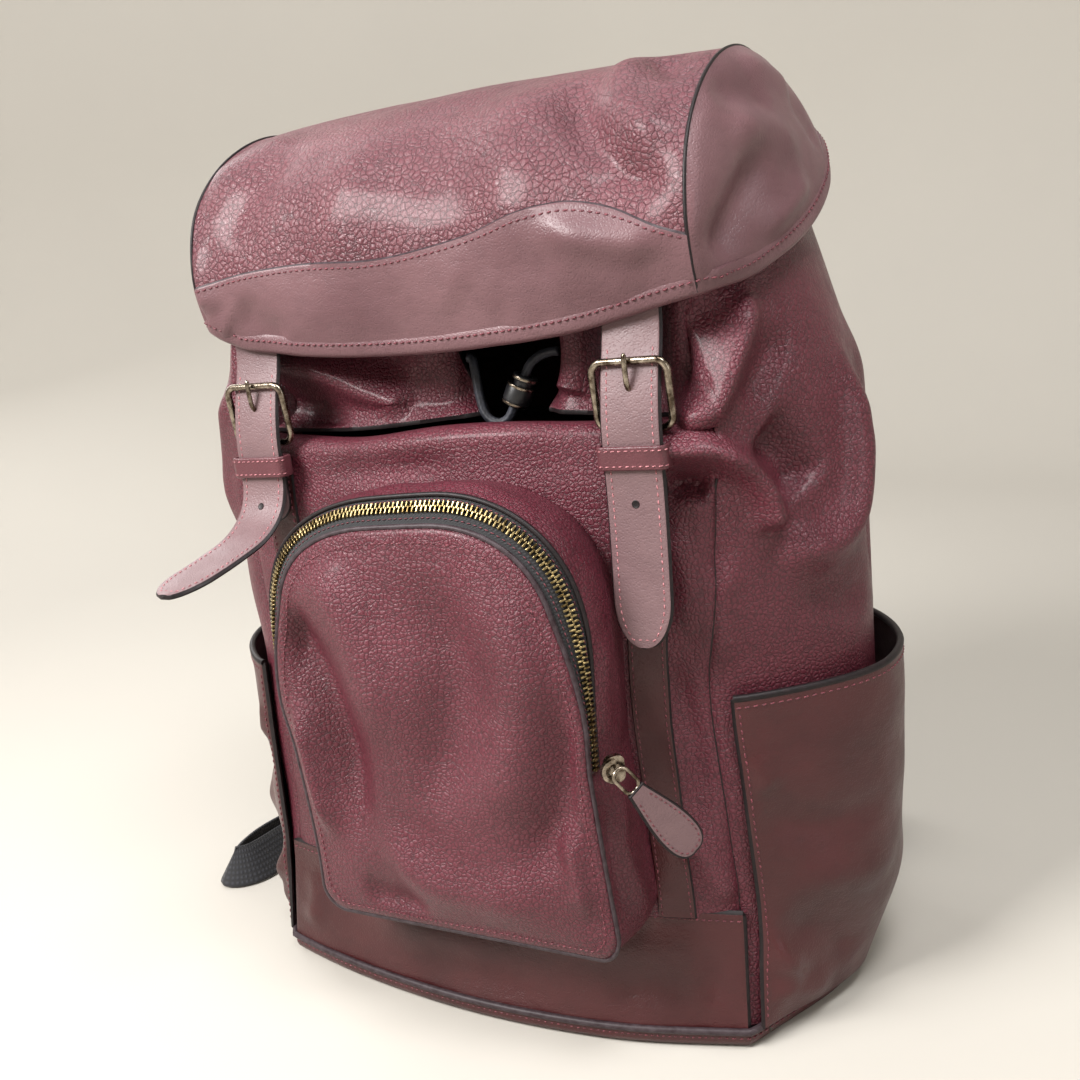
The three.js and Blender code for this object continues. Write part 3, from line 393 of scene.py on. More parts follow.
# ---------------------------------------------------------------- mesh making
def mesh_object(name, points, faces, materials, slots=None, uv=None, sharp=50):
    """One object from points in mm. slots gives each face's material, uv each corner's place in metres."""
    mesh = bpy.data.meshes.new(name)
    mesh.from_pydata((np.asarray(points) * MM).tolist(), [], faces)
    for material in materials:
        mesh.materials.append(material)
    if slots is not None:
        mesh.polygons.foreach_set("material_index", slots)
    if uv is not None:
        corners = np.array([v for face in faces for v in face])
        layer = mesh.uv_layers.new(name="UVMap")
        layer.data.foreach_set("uv", np.asarray(uv)[corners].astype(np.float32).ravel())
    mesh.polygons.foreach_set("use_smooth", [True] * len(mesh.polygons))
    mesh.set_sharp_from_angle(angle=math.radians(sharp))
    mesh.update()
    obj = bpy.data.objects.new(name, mesh)
    bpy.context.scene.collection.objects.link(obj)
    return obj


def slump(p):
    """How the soft bag leans: its right front corner and the lower zip pocket are drawn in."""
    x, y, z = p.T
    front = smoothstep(-y, 20, 85)
    low = 1 - smoothstep(z, 150, 275)
    corner = -12 * smoothstep(x, 50, 132) * front * low
    proud = smoothstep(-y, 100, 124)
    foot = 1 - smoothstep(z, 70, 215)
    pocket = proud * foot * (17 * smoothstep(-x, -10, 84) - 3 * smoothstep(x, 20, 90))
    sag = (2.2 * np.sin(x / 30 + 0.6) - 1.2) * smoothstep(z, 215, 284) * smoothstep(-y, 30, 70)
    return p + np.stack([corner + pocket, 0 * x, sag], axis=1)


def place(obj, body, slot, *nodes):
    """Lets the piece ride on its body, in place of the CAD nodes; slot is not used."""
    if body == "bag":
        flat = np.empty(3 * len(obj.data.vertices), np.float32)
        obj.data.vertices.foreach_get("co", flat)
        obj.data.vertices.foreach_set("co", (slump(flat.reshape(-1, 3) / MM) * MM).astype(np.float32).ravel())
        obj.data.update()
    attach(obj, body)
    if nodes:
        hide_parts(*nodes)
    return obj


def border_loop(rows, columns):
    """The grid's border in order, each with the place just inside it."""
    loop = [((i, 0), (i, 1)) for i in range(rows - 1)]
    loop += [((rows - 1, j), (rows - 2, j)) for j in range(columns - 1)]
    loop += [((i, columns - 1), (i, columns - 2)) for i in range(rows - 1, 0, -1)]
    loop += [((0, j), (1, j)) for j in range(columns - 1, 0, -1)]
    return [loop]


def ring_loops(rows, columns):
    """The two borders of a grid whose rows close on themselves."""
    return [
        [((i, 0), (i, 1)) for i in range(rows)],
        [((i, columns - 1), (i, columns - 2)) for i in range(rows - 1, -1, -1)],
    ]


def grid_faces(rows, columns, closed, start=0, flip=False):
    """The faces of a grid of points, whose rows run round when it is closed."""
    def at(i, j):
        return start + (i % rows) * columns + j

    faces = []
    for i in range(rows if closed else rows - 1):
        for j in range(columns - 1):
            face = [at(i, j), at(i + 1, j), at(i + 1, j + 1), at(i, j + 1)]
            faces.append(face[::-1] if flip else face)
    return faces


def tube_faces(rows, columns, closed=False):
    """The faces of rings of points, with flat ends unless the rings come round to the first one."""
    faces = []
    for i in range(rows if closed else rows - 1):
        for j in range(columns):
            k, m = (i + 1) % rows, (j + 1) % columns
            faces.append([i * columns + j, i * columns + m, k * columns + m, k * columns + j])
    if not closed:
        faces.append(list(range(columns))[::-1])
        faces.append([(rows - 1) * columns + j for j in range(columns)])
    return faces


def layered_tab(name, layers, edge_rows, materials):
    """A flat leather tab from a stack of outlines; edge_rows are the bands of its cut edge between them."""
    grid = np.stack(layers, axis=1)
    rows, columns = grid.shape[:2]
    faces = grid_faces(rows, columns, True)
    slots = [1 if k % (columns - 1) in edge_rows else 0 for k in range(len(faces))]
    faces.append([i * columns for i in range(rows)])
    faces.append([i * columns + columns - 1 for i in range(rows)][::-1])
    slots += [0, 0]
    return recalculated(mesh_object(name, grid.reshape(-1, 3), faces, materials, slots))


def recalculated(obj):
    """The piece with every face turned outwards."""
    work = bmesh.new()
    work.from_mesh(obj.data)
    bmesh.ops.recalc_face_normals(work, faces=work.faces)
    work.to_mesh(obj.data)
    work.free()
    return obj


def shell(name, outer, inner, materials, closed=False, flip=False):
    """A sheet between two grids: material 0 outside, 1 inside, 2 on the rounded cut edge."""
    rows, columns = outer.shape[:2]
    count = rows * columns
    faces = grid_faces(rows, columns, closed, 0, flip)
    slots = [0] * len(faces)
    faces += grid_faces(rows, columns, closed, count, not flip)
    slots += [1] * (len(faces) - len(slots))
    points = [outer.reshape(-1, 3), inner.reshape(-1, 3)]
    total = 2 * count
    for loop in ring_loops(rows, columns) if closed else border_loop(rows, columns):
        edge = np.array([k for k, _ in loop])
        inside = np.array([k for _, k in loop])
        top, low = outer[tuple(edge.T)], inner[tuple(edge.T)]
        out = unit(top - outer[tuple(inside.T)])
        thick = np.linalg.norm(top - low, axis=1, keepdims=True)
        points.append((top + low) / 2 + out * thick * 0.42)
        n = len(loop)
        flat = edge[:, 0] * columns + edge[:, 1]
        for k in range(n):
            m = (k + 1) % n
            upper = [flat[k], flat[m], total + m, total + k]
            lower = [total + k, total + m, count + flat[m], count + flat[k]]
            faces += [upper[::-1], lower[::-1]] if not flip else [upper, lower]
            slots += [2, 2]
        total += n
    across = np.linalg.norm(np.diff(outer, axis=0, prepend=outer[:1]), axis=2).cumsum(axis=0)
    along = np.linalg.norm(np.diff(outer, axis=1, prepend=outer[:, :1]), axis=2).cumsum(axis=1)
    flat_uv = np.stack([across, along], axis=-1).reshape(-1, 2) * MM
    uv = np.vstack([flat_uv, flat_uv, np.zeros((total - 2 * count, 2))])
    return mesh_object(name, np.vstack(points), [list(map(int, f)) for f in faces], materials, slots, uv)


def surface_grid(surface, u, v, side=1):
    """Points and outward normals on a surface; side -1 mirrors the right side's surface to the left."""
    a, b = np.meshgrid(u, v, indexing="ij")
    du = (u[-1] - u[0]) * 1e-3
    dv = (v[-1] - v[0]) * 1e-3
    along_u = surface(a + du, b) - surface(a - du, b)
    along_v = surface(a, b + dv) - surface(a, b - dv)
    normal = unit(np.cross(along_u, along_v))
    flip = np.array([side, 1, 1])
    return a, b, surface(a, b) * flip, normal * flip


def folded(points, folds, uneven=None):
    """How far the folds and the slouch move each point of a grid."""
    flat = points.reshape(-1, 3)
    rise = np.zeros(len(flat))
    for fold in folds:
        rise += fold(flat)
    if uneven is not None:
        rise += slouch(flat, *uneven)
    return rise.reshape(points.shape[:2])


def panel(name, surface, u, v, materials, side=1, lift=0.0, thickness=LEATHER, folds=(), uneven=None,
          keep=None, corner=None):
    """A panel of leather on a surface, creased by its folds.

    keep(a, b) scales the creases down at seams. corner(a, b) is 1 at a front corner of the bag, where the
    creases run straight out from the corner so that they carry on across it.
    """
    a, b, points, normal = surface_grid(surface, u, v, side)
    if corner is not None:
        diagonal = unit(np.stack([np.sign(points[..., 0]), np.full(a.shape, -1.0), 0 * a], axis=-1))
        normal = unit(lerp(normal, diagonal, corner(a, b)[..., None]))
    rise = folded(points, folds, uneven)
    if keep is not None:
        rise = rise * keep(a, b)
    height = (lift(a, b) if callable(lift) else lift) + rise
    outer = points + normal * height[..., None]
    return shell(name, outer, outer - normal * thickness, materials, flip=side < 0), outer, normal


def sweep(name, line, section, materials, frames=None, closed=False):
    """A section of (across, out) places carried along a line of points with (across, out) frames."""
    line = np.asarray(line, float)
    section = np.asarray(section, float)
    along = loop_tangent(line) if closed else unit(np.gradient(line, axis=0))
    across, out = frames or steady_frames(along)
    grid = line[:, None] + across[:, None] * section[None, :, :1] + out[:, None] * section[None, :, 1:]
    uv = np.stack(np.meshgrid(run_along(line), run_along(section), indexing="ij")[::-1], axis=-1)
    faces = tube_faces(*grid.shape[:2], closed)
    return mesh_object(name, grid.reshape(-1, 3), faces, materials, None, uv.reshape(-1, 2) * MM)


def steady_frames(along):
    """Frames that turn as little as they can along a line."""
    across = [unit(np.cross(along[0], [0.31, 0.2, 0.93]))]
    for t in along[1:]:
        across.append(unit(across[-1] - t * (across[-1] @ t)))
    across = np.array(across)
    return across, np.cross(along, across)


def circle(radius, count=14):
    angle = np.arange(count) / count * 2 * np.pi
    return np.stack([np.cos(angle) * radius, np.sin(angle) * radius], axis=1)


def flat_section(width, thickness, rounding=0.45, steps=10):
    """The section of a strap: flat, with softly rounded edges."""
    angle = np.linspace(-np.pi / 2, np.pi / 2, 7)
    reach = thickness * rounding
    flat = width / 2 - reach
    right = np.stack([flat + np.cos(angle) * reach, np.sin(angle) * thickness / 2], axis=1)
    top = np.stack([np.linspace(flat, -flat, steps)[1:-1], np.full(steps - 2, thickness / 2)], axis=1)
    return np.vstack([right, top, -right, -top])


def stitches(name, line, normal, body, slot="pebbled_leather", material=THREAD, pitch=3.4, length=2.6,
             radius=0.44, rise=0.12):
    """A row of sewn stitches along a line that lies on the leather, each slightly slanted."""
    line = np.asarray(line, float)
    run = run_along(line)
    count = max(int(run[-1] / pitch), 1)
    middle = (np.arange(count) + 0.5) * run[-1] / count

    def at(values, distance):
        return np.stack([np.interp(distance, run, values[:, k]) for k in range(3)], axis=1)

    centre = at(line, middle)
    along = unit(at(line, middle + 0.6) - at(line, middle - 0.6))
    up = at(np.broadcast_to(normal, line.shape), middle)
    up = unit(up - along * np.sum(up * along, axis=1, keepdims=True))
    side = np.cross(up, along)
    along = unit(along + side * 0.10)
    rings, sides = 5, 6
    share = np.linspace(-1, 1, rings + 2)[1:-1]
    girth = np.sqrt(1 - share**2 * 0.9) * radius
    angle = np.arange(sides) / sides * 2 * np.pi
    depth = radius * 0.9
    template = [(-length / 2, 0, -depth)]
    for s, g in zip(share, girth):
        template += [(s * length / 2, math.cos(q) * g, math.sin(q) * g - s**2 * depth) for q in angle]
    template.append((length / 2, 0, -depth))
    template = np.array(template)
    faces = [[0, 1 + (j + 1) % sides, 1 + j] for j in range(sides)]
    for i in range(rings - 1):
        for j in range(sides):
            a, b = 1 + i * sides + j, 1 + i * sides + (j + 1) % sides
            faces.append([a, b, b + sides, a + sides])
    tip = len(template) - 1
    faces += [[tip, tip - sides + j, tip - sides + (j + 1) % sides] for j in range(sides)]
    points = (
        centre[:, None]
        + along[:, None] * template[None, :, :1]
        + side[:, None] * template[None, :, 1:2]
        + up[:, None] * (template[None, :, 2:] + rise)
    ).reshape(-1, 3)
    every = [[v + k * len(template) for v in face] for k in range(count) for face in faces]
    obj = mesh_object(name, points, every, [material], sharp=180)
    return place(obj, body, slot)


def soften(obj, width, segments=2, angle=None):
    """A fine bevel on an object's edges, or only on those sharper than an angle."""
    bevel = obj.modifiers.new("soft_edges", "BEVEL")
    bevel.width = width
    bevel.segments = segments
    if angle is not None:
        bevel.limit_method = "ANGLE"
        bevel.angle_limit = angle


def dress(node, material, bevel_width=0.0004, segments=2, angle=math.radians(40)):
    """A CAD piece kept as it is, in its own finish with softened edges."""
    node.data.materials.clear()
    node.data.materials.append(material)
    soften(node, bevel_width, segments, angle)


def lathe(name, profile, materials, centre, axis, steps=40):
    """A profile of (radius, height) corners, closed on itself, turned about an axis."""
    axis = unit(np.array(axis, float))
    side = unit(np.cross(axis, [0.3, 0.9, 0.2]))
    other = np.cross(axis, side)
    rows = len(profile)
    points = []
    for k in range(steps):
        angle = 2 * np.pi * k / steps
        out = side * math.cos(angle) + other * math.sin(angle)
        points += [np.array(centre) + out * r + axis * h for r, h in profile]
    faces = []
    for k in range(steps):
        for j in range(rows):
            m, n = (k + 1) % steps, (j + 1) % rows
            faces.append([k * rows + j, m * rows + j, m * rows + n, k * rows + n])
    return recalculated(mesh_object(name, points, faces, materials, sharp=35))


def rounded_loop(width, height, corner, count=88):
    """Points round a rounded rectangle in the XZ plane, centred on the origin."""
    x, z = width / 2 - corner, height / 2 - corner
    points = []
    for k, (cx, cz) in enumerate(((x, z), (-x, z), (-x, -z), (x, -z))):
        for angle in np.linspace(k * np.pi / 2, (k + 1) * np.pi / 2, count // 4):
            points.append((cx + math.cos(angle) * corner, 0, cz + math.sin(angle) * corner))
    return np.array(points)


def evened(points, count, closed=False):
    """That many points at even distances along a line."""
    path = np.vstack([points, points[:1]]) if closed else points
    run = run_along(path)
    wanted = np.linspace(0, run[-1], count, endpoint=not closed)
    return np.stack([np.interp(wanted, run, path[:, k]) for k in range(path.shape[1])], axis=1)


def turned(points, *turns):
    """Points turned about the origin by each (angle, axis) in turn."""
    for angle, axis in turns:
        points = points @ np.array(Matrix.Rotation(angle, 3, axis)).T
    return points


# ---------------------------------------------------------------- the bag's surfaces
corner_x = stations((0, 137), (69, 135), (175, 128), (270, 128), (330, 122), (400, 108))
corner_y = stations((0, 92), (60, 80), (265, 77), (330, 72), (400, 64))
front_bulge = stations((0, 20), (60, 13), (290, 13))
side_bulge = stations((0, 20), (60, 30), (120, 35), (200, 38), (311, 33), (340, 26), (370, 20), (400, 10))
back_x = stations((0, 136), (300, 138), (400, 128))


def front_y(u, z):
    return -corner_y(z) - front_bulge(z) * (1 - u * u)


def front_surface(u, p):
    """Front of the bag: p is the height, and then the run round the fold at its top."""
    u, p = np.broadcast_arrays(np.asarray(u, float), np.asarray(p, float))
    z = np.minimum(p, FOLD_Z)
    past = np.maximum(p - FOLD_Z, 0)
    turn = np.minimum(past / FOLD_R, math.pi / 2)
    run = np.maximum(past - FOLD_R * math.pi / 2, 0)
    x = u * corner_x(z) * (1 - 0.05 * np.sin(turn))
    y = front_y(u, z) + FOLD_R * (1 - np.cos(turn)) + run
    return np.stack([x, y, z + FOLD_R * np.sin(turn)], axis=-1)


def side_surface(u, z):
    """Right side of the bag, from the front seam to the back seam."""
    bulge = side_bulge(z) * np.sin(np.pi * np.clip(u, 0, 1)) ** 0.8
    x = lerp(corner_x(z), back_x(z), u) + bulge
    y = np.broadcast_to(lerp(-corner_y(z), BACK_Y, u), x.shape)
    return np.stack([x, y, np.broadcast_to(z, x.shape)], axis=-1)


def back_surface(u, z):
    x = -u * back_x(z)
    y = np.broadcast_to(BACK_Y + BACK_BULGE * (1 - u * u), x.shape)
    return np.stack([x, y, np.broadcast_to(z, x.shape)], axis=-1)


def outline(z, count=240, inset=0.0):
    """The bag's outline at a height, counter-clockwise from the left front seam, with outward normals."""
    front = front_surface(np.linspace(-1, 1, 70, endpoint=False), z)
    right = side_surface(np.linspace(0, 1, 50, endpoint=False), z)
    back = back_surface(np.linspace(-1, 1, 70, endpoint=False), z)
    left = side_surface(np.linspace(1, 0, 50, endpoint=False), z) * [-1, 1, 1]
    even = evened(np.vstack([front, right, back, left]), count, closed=True)
    along = loop_tangent(even)
    normal = np.stack([along[:, 1], -along[:, 0], np.zeros(count)], axis=1)
    return even - normal * inset, normal


# ---------------------------------------------------------------- camera, light and floor
CAMERA_AT = (279.2, -511.3, 366.3)
CAMERA_AIM = (8.2, -16.3, 219.3)
CAMERA_ROLL = math.radians(7.2)
CAMERA_LENS = 38.0

# Softboxes in metres: place, what they face, size, power and colour.
BAG_MIDDLE = (0.0, -0.02, 0.22)
LIGHTS = {
    "key": ((-0.55, -0.9, 1.1), BAG_MIDDLE, (0.6, 0.45), 36, (1.0, 0.985, 0.97)),
    "top": ((0.45, -0.35, 1.3), BAG_MIDDLE, (0.5, 0.35), 13),
    "fill": ((1.1, -0.46, 0.62), BAG_MIDDLE, (0.2, 0.6), 1.8, (0.94, 0.96, 1.0)),
    "rim": ((-1.1, 0.5, 0.8), BAG_MIDDLE, (0.4, 0.9), 4),
    "paper": ((-0.55, 0.75, 1.9), (-0.75, 1.3, 0.5), (1.6, 0.5), 9),
}
BOWL_FLAT, BOWL_BEND, BOWL_HEIGHT = 1000.0, 600.0, 4000.0


def make_camera():
    data = bpy.data.cameras.new("camera")
    data.lens = CAMERA_LENS
    data.sensor_width = 36
    data.clip_start = 0.01
    camera = bpy.data.objects.new("camera", data)
    bpy.context.scene.collection.objects.link(camera)
    back = (Vector(CAMERA_AT) - Vector(CAMERA_AIM)).normalized()
    level = back.to_track_quat("Z", "Y").to_matrix()
    turn = Matrix.Rotation(-CAMERA_ROLL, 3, "Z")
    camera.matrix_world = Matrix.Translation(Vector(CAMERA_AT) * MM) @ (level @ turn).to_4x4()
    bpy.context.scene.camera = camera


def softbox(name, at, aim, size, power, colour=(1, 1, 1)):
    data = bpy.data.lights.new(name, "AREA")
    data.shape = "RECTANGLE"
    data.size, data.size_y = size
    data.energy = power
    data.color = colour
    light = bpy.data.objects.new(name, data)
    bpy.context.scene.collection.objects.link(light)
    light.location = at
    light.rotation_euler = (Vector(at) - Vector(aim)).to_track_quat("Z", "Y").to_euler()


def make_studio():
    """Soft daylight from the front left over pale paper that rises all round the bag."""
    bpy.context.scene.view_settings.view_transform = "Standard"
    world = bpy.data.worlds.new("studio")
    world.use_nodes = True
    world.node_tree.nodes["Background"].inputs["Color"].default_value = (0.86, 0.88, 0.92, 1)
    world.node_tree.nodes["Background"].inputs["Strength"].default_value = 0.17
    bpy.context.scene.world = world
    for name, light in LIGHTS.items():
        softbox(name, *light)
    paper_bowl()


def paper_bowl():
    """Pale paper that lies flat under the bag and curves up all round it."""
    angle = np.linspace(0, np.pi / 2, 17)
    curve = np.stack([BOWL_FLAT + np.sin(angle) * BOWL_BEND, BOWL_BEND - np.cos(angle) * BOWL_BEND], axis=1)
    profile = np.vstack([[(1, 0), (300, 0), (700, 0)], curve, [(BOWL_FLAT + BOWL_BEND, BOWL_HEIGHT)]])
    ray = np.column_stack([profile[:, :1], 0 * profile[:, :1], profile[:, 1:]])
    turns = 48
    points = np.vstack([turned(ray, (2 * np.pi * k / turns, "Z")) for k in range(turns)])
    faces = grid_faces(turns, len(profile), True)
    faces.append([k * len(profile) for k in range(turns)])
    s = Shader("floor_paper")
    tone = s.mix(s.noise(400, 2.0), (0.46, 0.435, 0.395, 1), (0.49, 0.465, 0.42, 1))
    s.set(Base_Color=tone, Roughness=0.9)
    return mesh_object("floor", points, faces, (s.material,), sharp=180)


# ---------------------------------------------------------------- body panels
def on_bag(places):
    """Moves places near the bag onto its front or its sides, at their own height."""
    moved = []
    for x, y, z in places:
        if z > FOLD_Z and abs(x) < 122:
            moved.append((x, y, z))
            continue
        near = side_surface(np.linspace(0, 1, 200), np.full(200, float(z))) * [np.sign(x), 1, 1]
        if z <= FOLD_Z:
            near = np.vstack([near, front_surface(np.linspace(-1, 1, 300), np.full(300, float(z)))])
        moved.append(near[np.argmin(np.linalg.norm(near[:, :2] - (x, y), axis=1))])
    return moved


def body_fold(places, *shape):
    """A fold whose line lies on the bag's front or sides."""
    return Fold(on_bag(places), *shape)


RIGHT_FOLDS = [
    body_fold([(100, -88, 279), (112, -86, 281), (124, -83, 280), (135, -78, 275), (143, -72, 266),
               (147, -67, 252), (147, -64, 238)], 6, 13, 0.1),
    body_fold([(104, -87, 264), (118, -85, 265), (128, -80, 262)], 5, -8),
    body_fold([(143, -62, 284), (152, -52, 266), (156, -46, 252)], 11, -12, 0.2),
    body_fold([(151, -60, 236), (160, -45, 226), (168, -26, 236), (172, -14, 268), (170, -12, 310)],
              9, 9.5, 0.2),
    body_fold([(150, -58, 340), (138, -68, 318), (124, -77, 298), (112, -80, 288)], 7, 10, 0.2),
    body_fold([(128, -68, 345), (119, -72, 322), (108, -74, 300)], 6, -7),
    body_fold([(160, -44, 322), (150, -60, 306), (140, -70, 294)], 8, -5),
    body_fold([(172, 4, 290), (173, 8, 240), (172, 6, 185)], 8, -6),
    body_fold([(168, 24, 320), (168, 26, 270), (168, 24, 220)], 10, 4),
    body_fold([(150, -52, 212), (162, -34, 200), (170, -14, 196)], 8, -3.5),
    body_fold([(134, -78, 232), (132, -80, 205), (134, -78, 176)], 7, 3.5),
    body_fold([(104, -88, 250), (116, -86, 222), (120, -86, 190)], 8, 3),
    body_fold([(106, -88, 190), (118, -86, 150), (122, -84, 100)], 9, -4),
    body_fold([(112, -88, 110), (124, -84, 84), (131, -82, 66)], 8, 4),
]
LEFT_FOLDS = [
    body_fold([(-126, -78, 318), (-140, -68, 296), (-152, -56, 262), (-146, -62, 230)], 9, 7),
    body_fold([(-120, -82, 290), (-132, -78, 262), (-132, -77, 236)], 8, -6),
    body_fold([(-166, -30, 320), (-172, -12, 270), (-170, -10, 210)], 10, 5),
    body_fold([(-150, -10, 350), (-168, 8, 300), (-170, 8, 240)], 9, -5),
    body_fold([(-100, -88, 200), (-112, -84, 160), (-118, -84, 110)], 9, -4),
]
TOP_EDGE_FOLDS = [
    body_fold([(-95, -90, 282), (-60, -95, 287), (-20, -96, 285), (24, -96, 288), (70, -94, 284)], 8, 3),
    body_fold([(-70, -98, 274), (-30, -100, 276), (16, -100, 274)], 7, -2),
]
BODY_FOLDS = RIGHT_FOLDS + LEFT_FOLDS + TOP_EDGE_FOLDS
BODY_SLOUCH = (44, 1.6, 3.0)
BAND_FOLDS = [
    Fold([(20, -104, 50), (60, -103, 44), (100, -98, 48), (128, -90, 56)], 9, 4),
    Fold([(-90, -98, 46), (-40, -106, 36), (20, -108, 34)], 12, 3.5),
    Fold([(60, -106, 24), (90, -102, 30), (116, -98, 26)], 8, -3),
    Fold([(118, -92, 52), (122, -92, 36), (120, -94, 20)], 6, -2.5),
    Fold([(-124, -90, 52), (-118, -92, 34), (-124, -92, 18)], 7, 3),
    Fold([(-60, -104, 20), (-10, -110, 24), (40, -108, 18)], 8, -2),
]
CORNER_FOLDS = [
    Fold([(134, -82, 62), (142, -76, 46), (150, -64, 26)], 6, 6),
    Fold([(140, -80, 30), (150, -66, 20), (160, -50, 16)], 7, 4),
    Fold([(146, -70, 62), (158, -54, 44), (162, -40, 24)], 8, -5),
    Fold([(150, -64, 84), (166, -44, 70), (176, -20, 74)], 9, 5),
    Fold([(140, -74, 118), (152, -62, 104), (164, -46, 100), (174, -26, 106)], 9, -4),
    Fold([(138, -76, 140), (144, -70, 120)], 7, 3),
    Fold([(168, 6, 60), (176, 14, 90), (178, 20, 130)], 12, -3),
]


def dense_ends(low, high, count, edge=6.0, extra=5):
    """Steps from low to high with some more of them close to both ends."""
    share = np.linspace(0, 1, count)
    near = np.linspace(0, edge / abs(high - low), extra, endpoint=False)
    return lerp(low, high, np.unique(np.round(np.concatenate([share, near, 1 - near]), 6)))


def puff(distance, height=5.0, reach=11.0):
    """How leather swells away from a sewn valley, with distance from the seam in mm."""
    return height * (1 - np.exp(-distance / reach * 2)) - 0.8 * height


def front_puff(u, p):
    return puff((1 - np.abs(u)) * 128) * (1 - smoothstep(p, 262, 276))


def side_puff(u, z):
    return puff(np.minimum(u, 1 - u) * 150) * (1 - smoothstep(z, 262, 276))


def raised_side(u, z):
    """The side, whose top edge climbs towards the back under the flap."""
    return side_surface(u, z + 25 * smoothstep(u, 0.45, 0.95) * smoothstep(z, 290, SIDE_TOP_Z))


def sewn_down(a, b):
    """1 over a panel, down to 0 at the seams along its sides."""
    return smoothstep(1 - np.abs(a), 0.0, 0.06)


def sewn_at_back(a, b):
    return smoothstep(0.985 - a, 0.0, 0.05)


def front_corner(a, b):
    return smoothstep(np.abs(a), 0.86, 1)


def side_corner(a, b):
    return 1 - smoothstep(a, 0, 0.14)


def body_panels():
    leather = (PEBBLED, SUEDE, PEBBLED)
    brown = (BROWN, SUEDE, EDGE)
    top = FOLD_Z + FOLD_R * math.pi / 2 + FOLD_RUN
    front, _, _ = panel(
        "front_leather", front_surface, dense_ends(-1, 1, 150, 0.12, 12),
        np.linspace(BASE_SEAM_Z + 0.4, top, 140), leather, lift=front_puff, folds=BODY_FOLDS,
        uneven=BODY_SLOUCH, corner=front_corner,
    )
    place(front, "bag", "pebbled_leather", "front_panel")

    band, points, normal = panel(
        "base_band_leather", front_surface, np.linspace(-0.996, 0.996, 130),
        dense_ends(BASE_LIP_Z + 0.6, BASE_SEAM_Z + 3, 34), brown, lift=0.9, thickness=3.2,
        folds=BAND_FOLDS, uneven=(30, 1.2, 7.0), keep=sewn_down,
    )
    place(band, "bag", "brown_leather", "base_band_front")
    row = points.shape[1] - 5
    stitches("base_band_stitches", points[:, row], normal[:, row], "bag", "brown_leather")

    for side, word in SIDES:
        wall, points, normal = panel(
            f"side_leather_{word}", raised_side, dense_ends(0, 0.985, 120, 0.1, 10),
            np.linspace(BASE_LIP_Z + 0.6, SIDE_TOP_Z, 150), leather, side, lift=side_puff,
            folds=BODY_FOLDS, uneven=BODY_SLOUCH, keep=sewn_at_back, corner=side_corner,
        )
        place(wall, "bag", "pebbled_leather", f"side_panel_{word}")
        deep = points[0] - normal[0] * 0.5
        line = evened(deep[(deep[:, 2] > BASE_LIP_Z + 1) & (deep[:, 2] < 268)], 120)
        place(sweep(f"front_seam_{word}", line, circle(0.7, 8), (EDGE,)), "bag", "pebbled_leather")

    back, _, _ = panel(
        "back_leather", back_surface, np.linspace(-0.996, 0.996, 60),
        np.linspace(BASE_LIP_Z + 0.6, BACK_TOP_Z, 80), brown, uneven=(50, 1.2, 11.0), keep=sewn_down,
    )
    place(back, "bag", "brown_leather", "back_panel")


def base():
    """The stiff base: a shallow leather tray with its lip turned up, piped and stitched."""
    profile = [(-40, 0.25), (-9, 0.2), (-3.0, 0.5), (-0.6, 2.0), (0.4, 4.4), (0.5, BASE_LIP_Z),
               (-1.6, BASE_LIP_Z), (-1.6, 5.0), (-4.0, 3.4), (-40, 3.4)]
    count = 260
    rings = []
    for inset, z in profile:
        loop, normal = outline(max(z, 0.0) * 0.5, count)
        ring = loop + normal * inset
        ring[:, 2] = z
        rings.append(ring)
    grid = np.stack(rings, axis=1)
    rows, columns = grid.shape[:2]
    faces = grid_faces(rows, columns, True)
    points = grid.reshape(-1, 3)
    bottom, top = len(points), len(points) + 1
    points = np.vstack([points, [0, -10, 0.25], [0, -10, 3.4]])
    for i in range(rows):
        k = (i + 1) % rows
        faces.append([bottom, k * columns, i * columns])
        faces.append([top, i * columns + columns - 1, k * columns + columns - 1])
    tray = mesh_object("base_tray", points, faces, (BROWN,), sharp=40)
    place(tray, "bag", "brown_leather", "base_panel")
    loop, normal = outline(5.0, 400)
    loop = loop + normal * 0.9
    loop[:, 2] = BASE_LIP_Z + 0.5
    pipe = sweep("base_piping_cord", loop, circle(1.7, 10), (EDGE_GREY,), closed=True)
    place(pipe, "bag", "brown_leather", "base_piping")
    sewn, normal = outline(5.0, 400)
    sewn = sewn + normal * 0.55
    sewn[:, 2] = BASE_LIP_Z - 3.2
    stitches("base_stitches", sewn, normal, "bag", "brown_leather")


def strap_bands():
    """Smooth bands sewn down the front under the closure straps."""
    for side, word in SIDES:
        low, high = (BAND_X - BAND_WIDTH / 2) / 128, (BAND_X + BAND_WIDTH / 2) / 128
        band, points, normal = panel(
            f"strap_band_leather_{word}", front_surface, dense_ends(low, high, 12, 0.02, 4),
            np.linspace(BASE_SEAM_Z + 1, FOLD_Z - 2, 110), (BROWN, SUEDE, EDGE), side, lift=2.0,
            thickness=1.9, folds=BODY_FOLDS, uneven=BODY_SLOUCH,
        )
        place(band, "bag", "brown_leather", f"strap_band_{word}")
        for row, edge in ((3, "inner"), (-4, "outer")):
            stitches(f"strap_band_{edge}_stitches_{word}", points[row], normal[row], "bag", "brown_leather")


# ---------------------------------------------------------------- side pockets
POCKET_U = (0.03, 0.93)


def pocket_offset(u, z):
    across = np.clip(np.sin(np.pi * (u - POCKET_U[0]) / (POCKET_U[1] - POCKET_U[0])), 0, None)
    return 1.4 + 9.6 * across**0.7 * smoothstep(z, 0, 60)


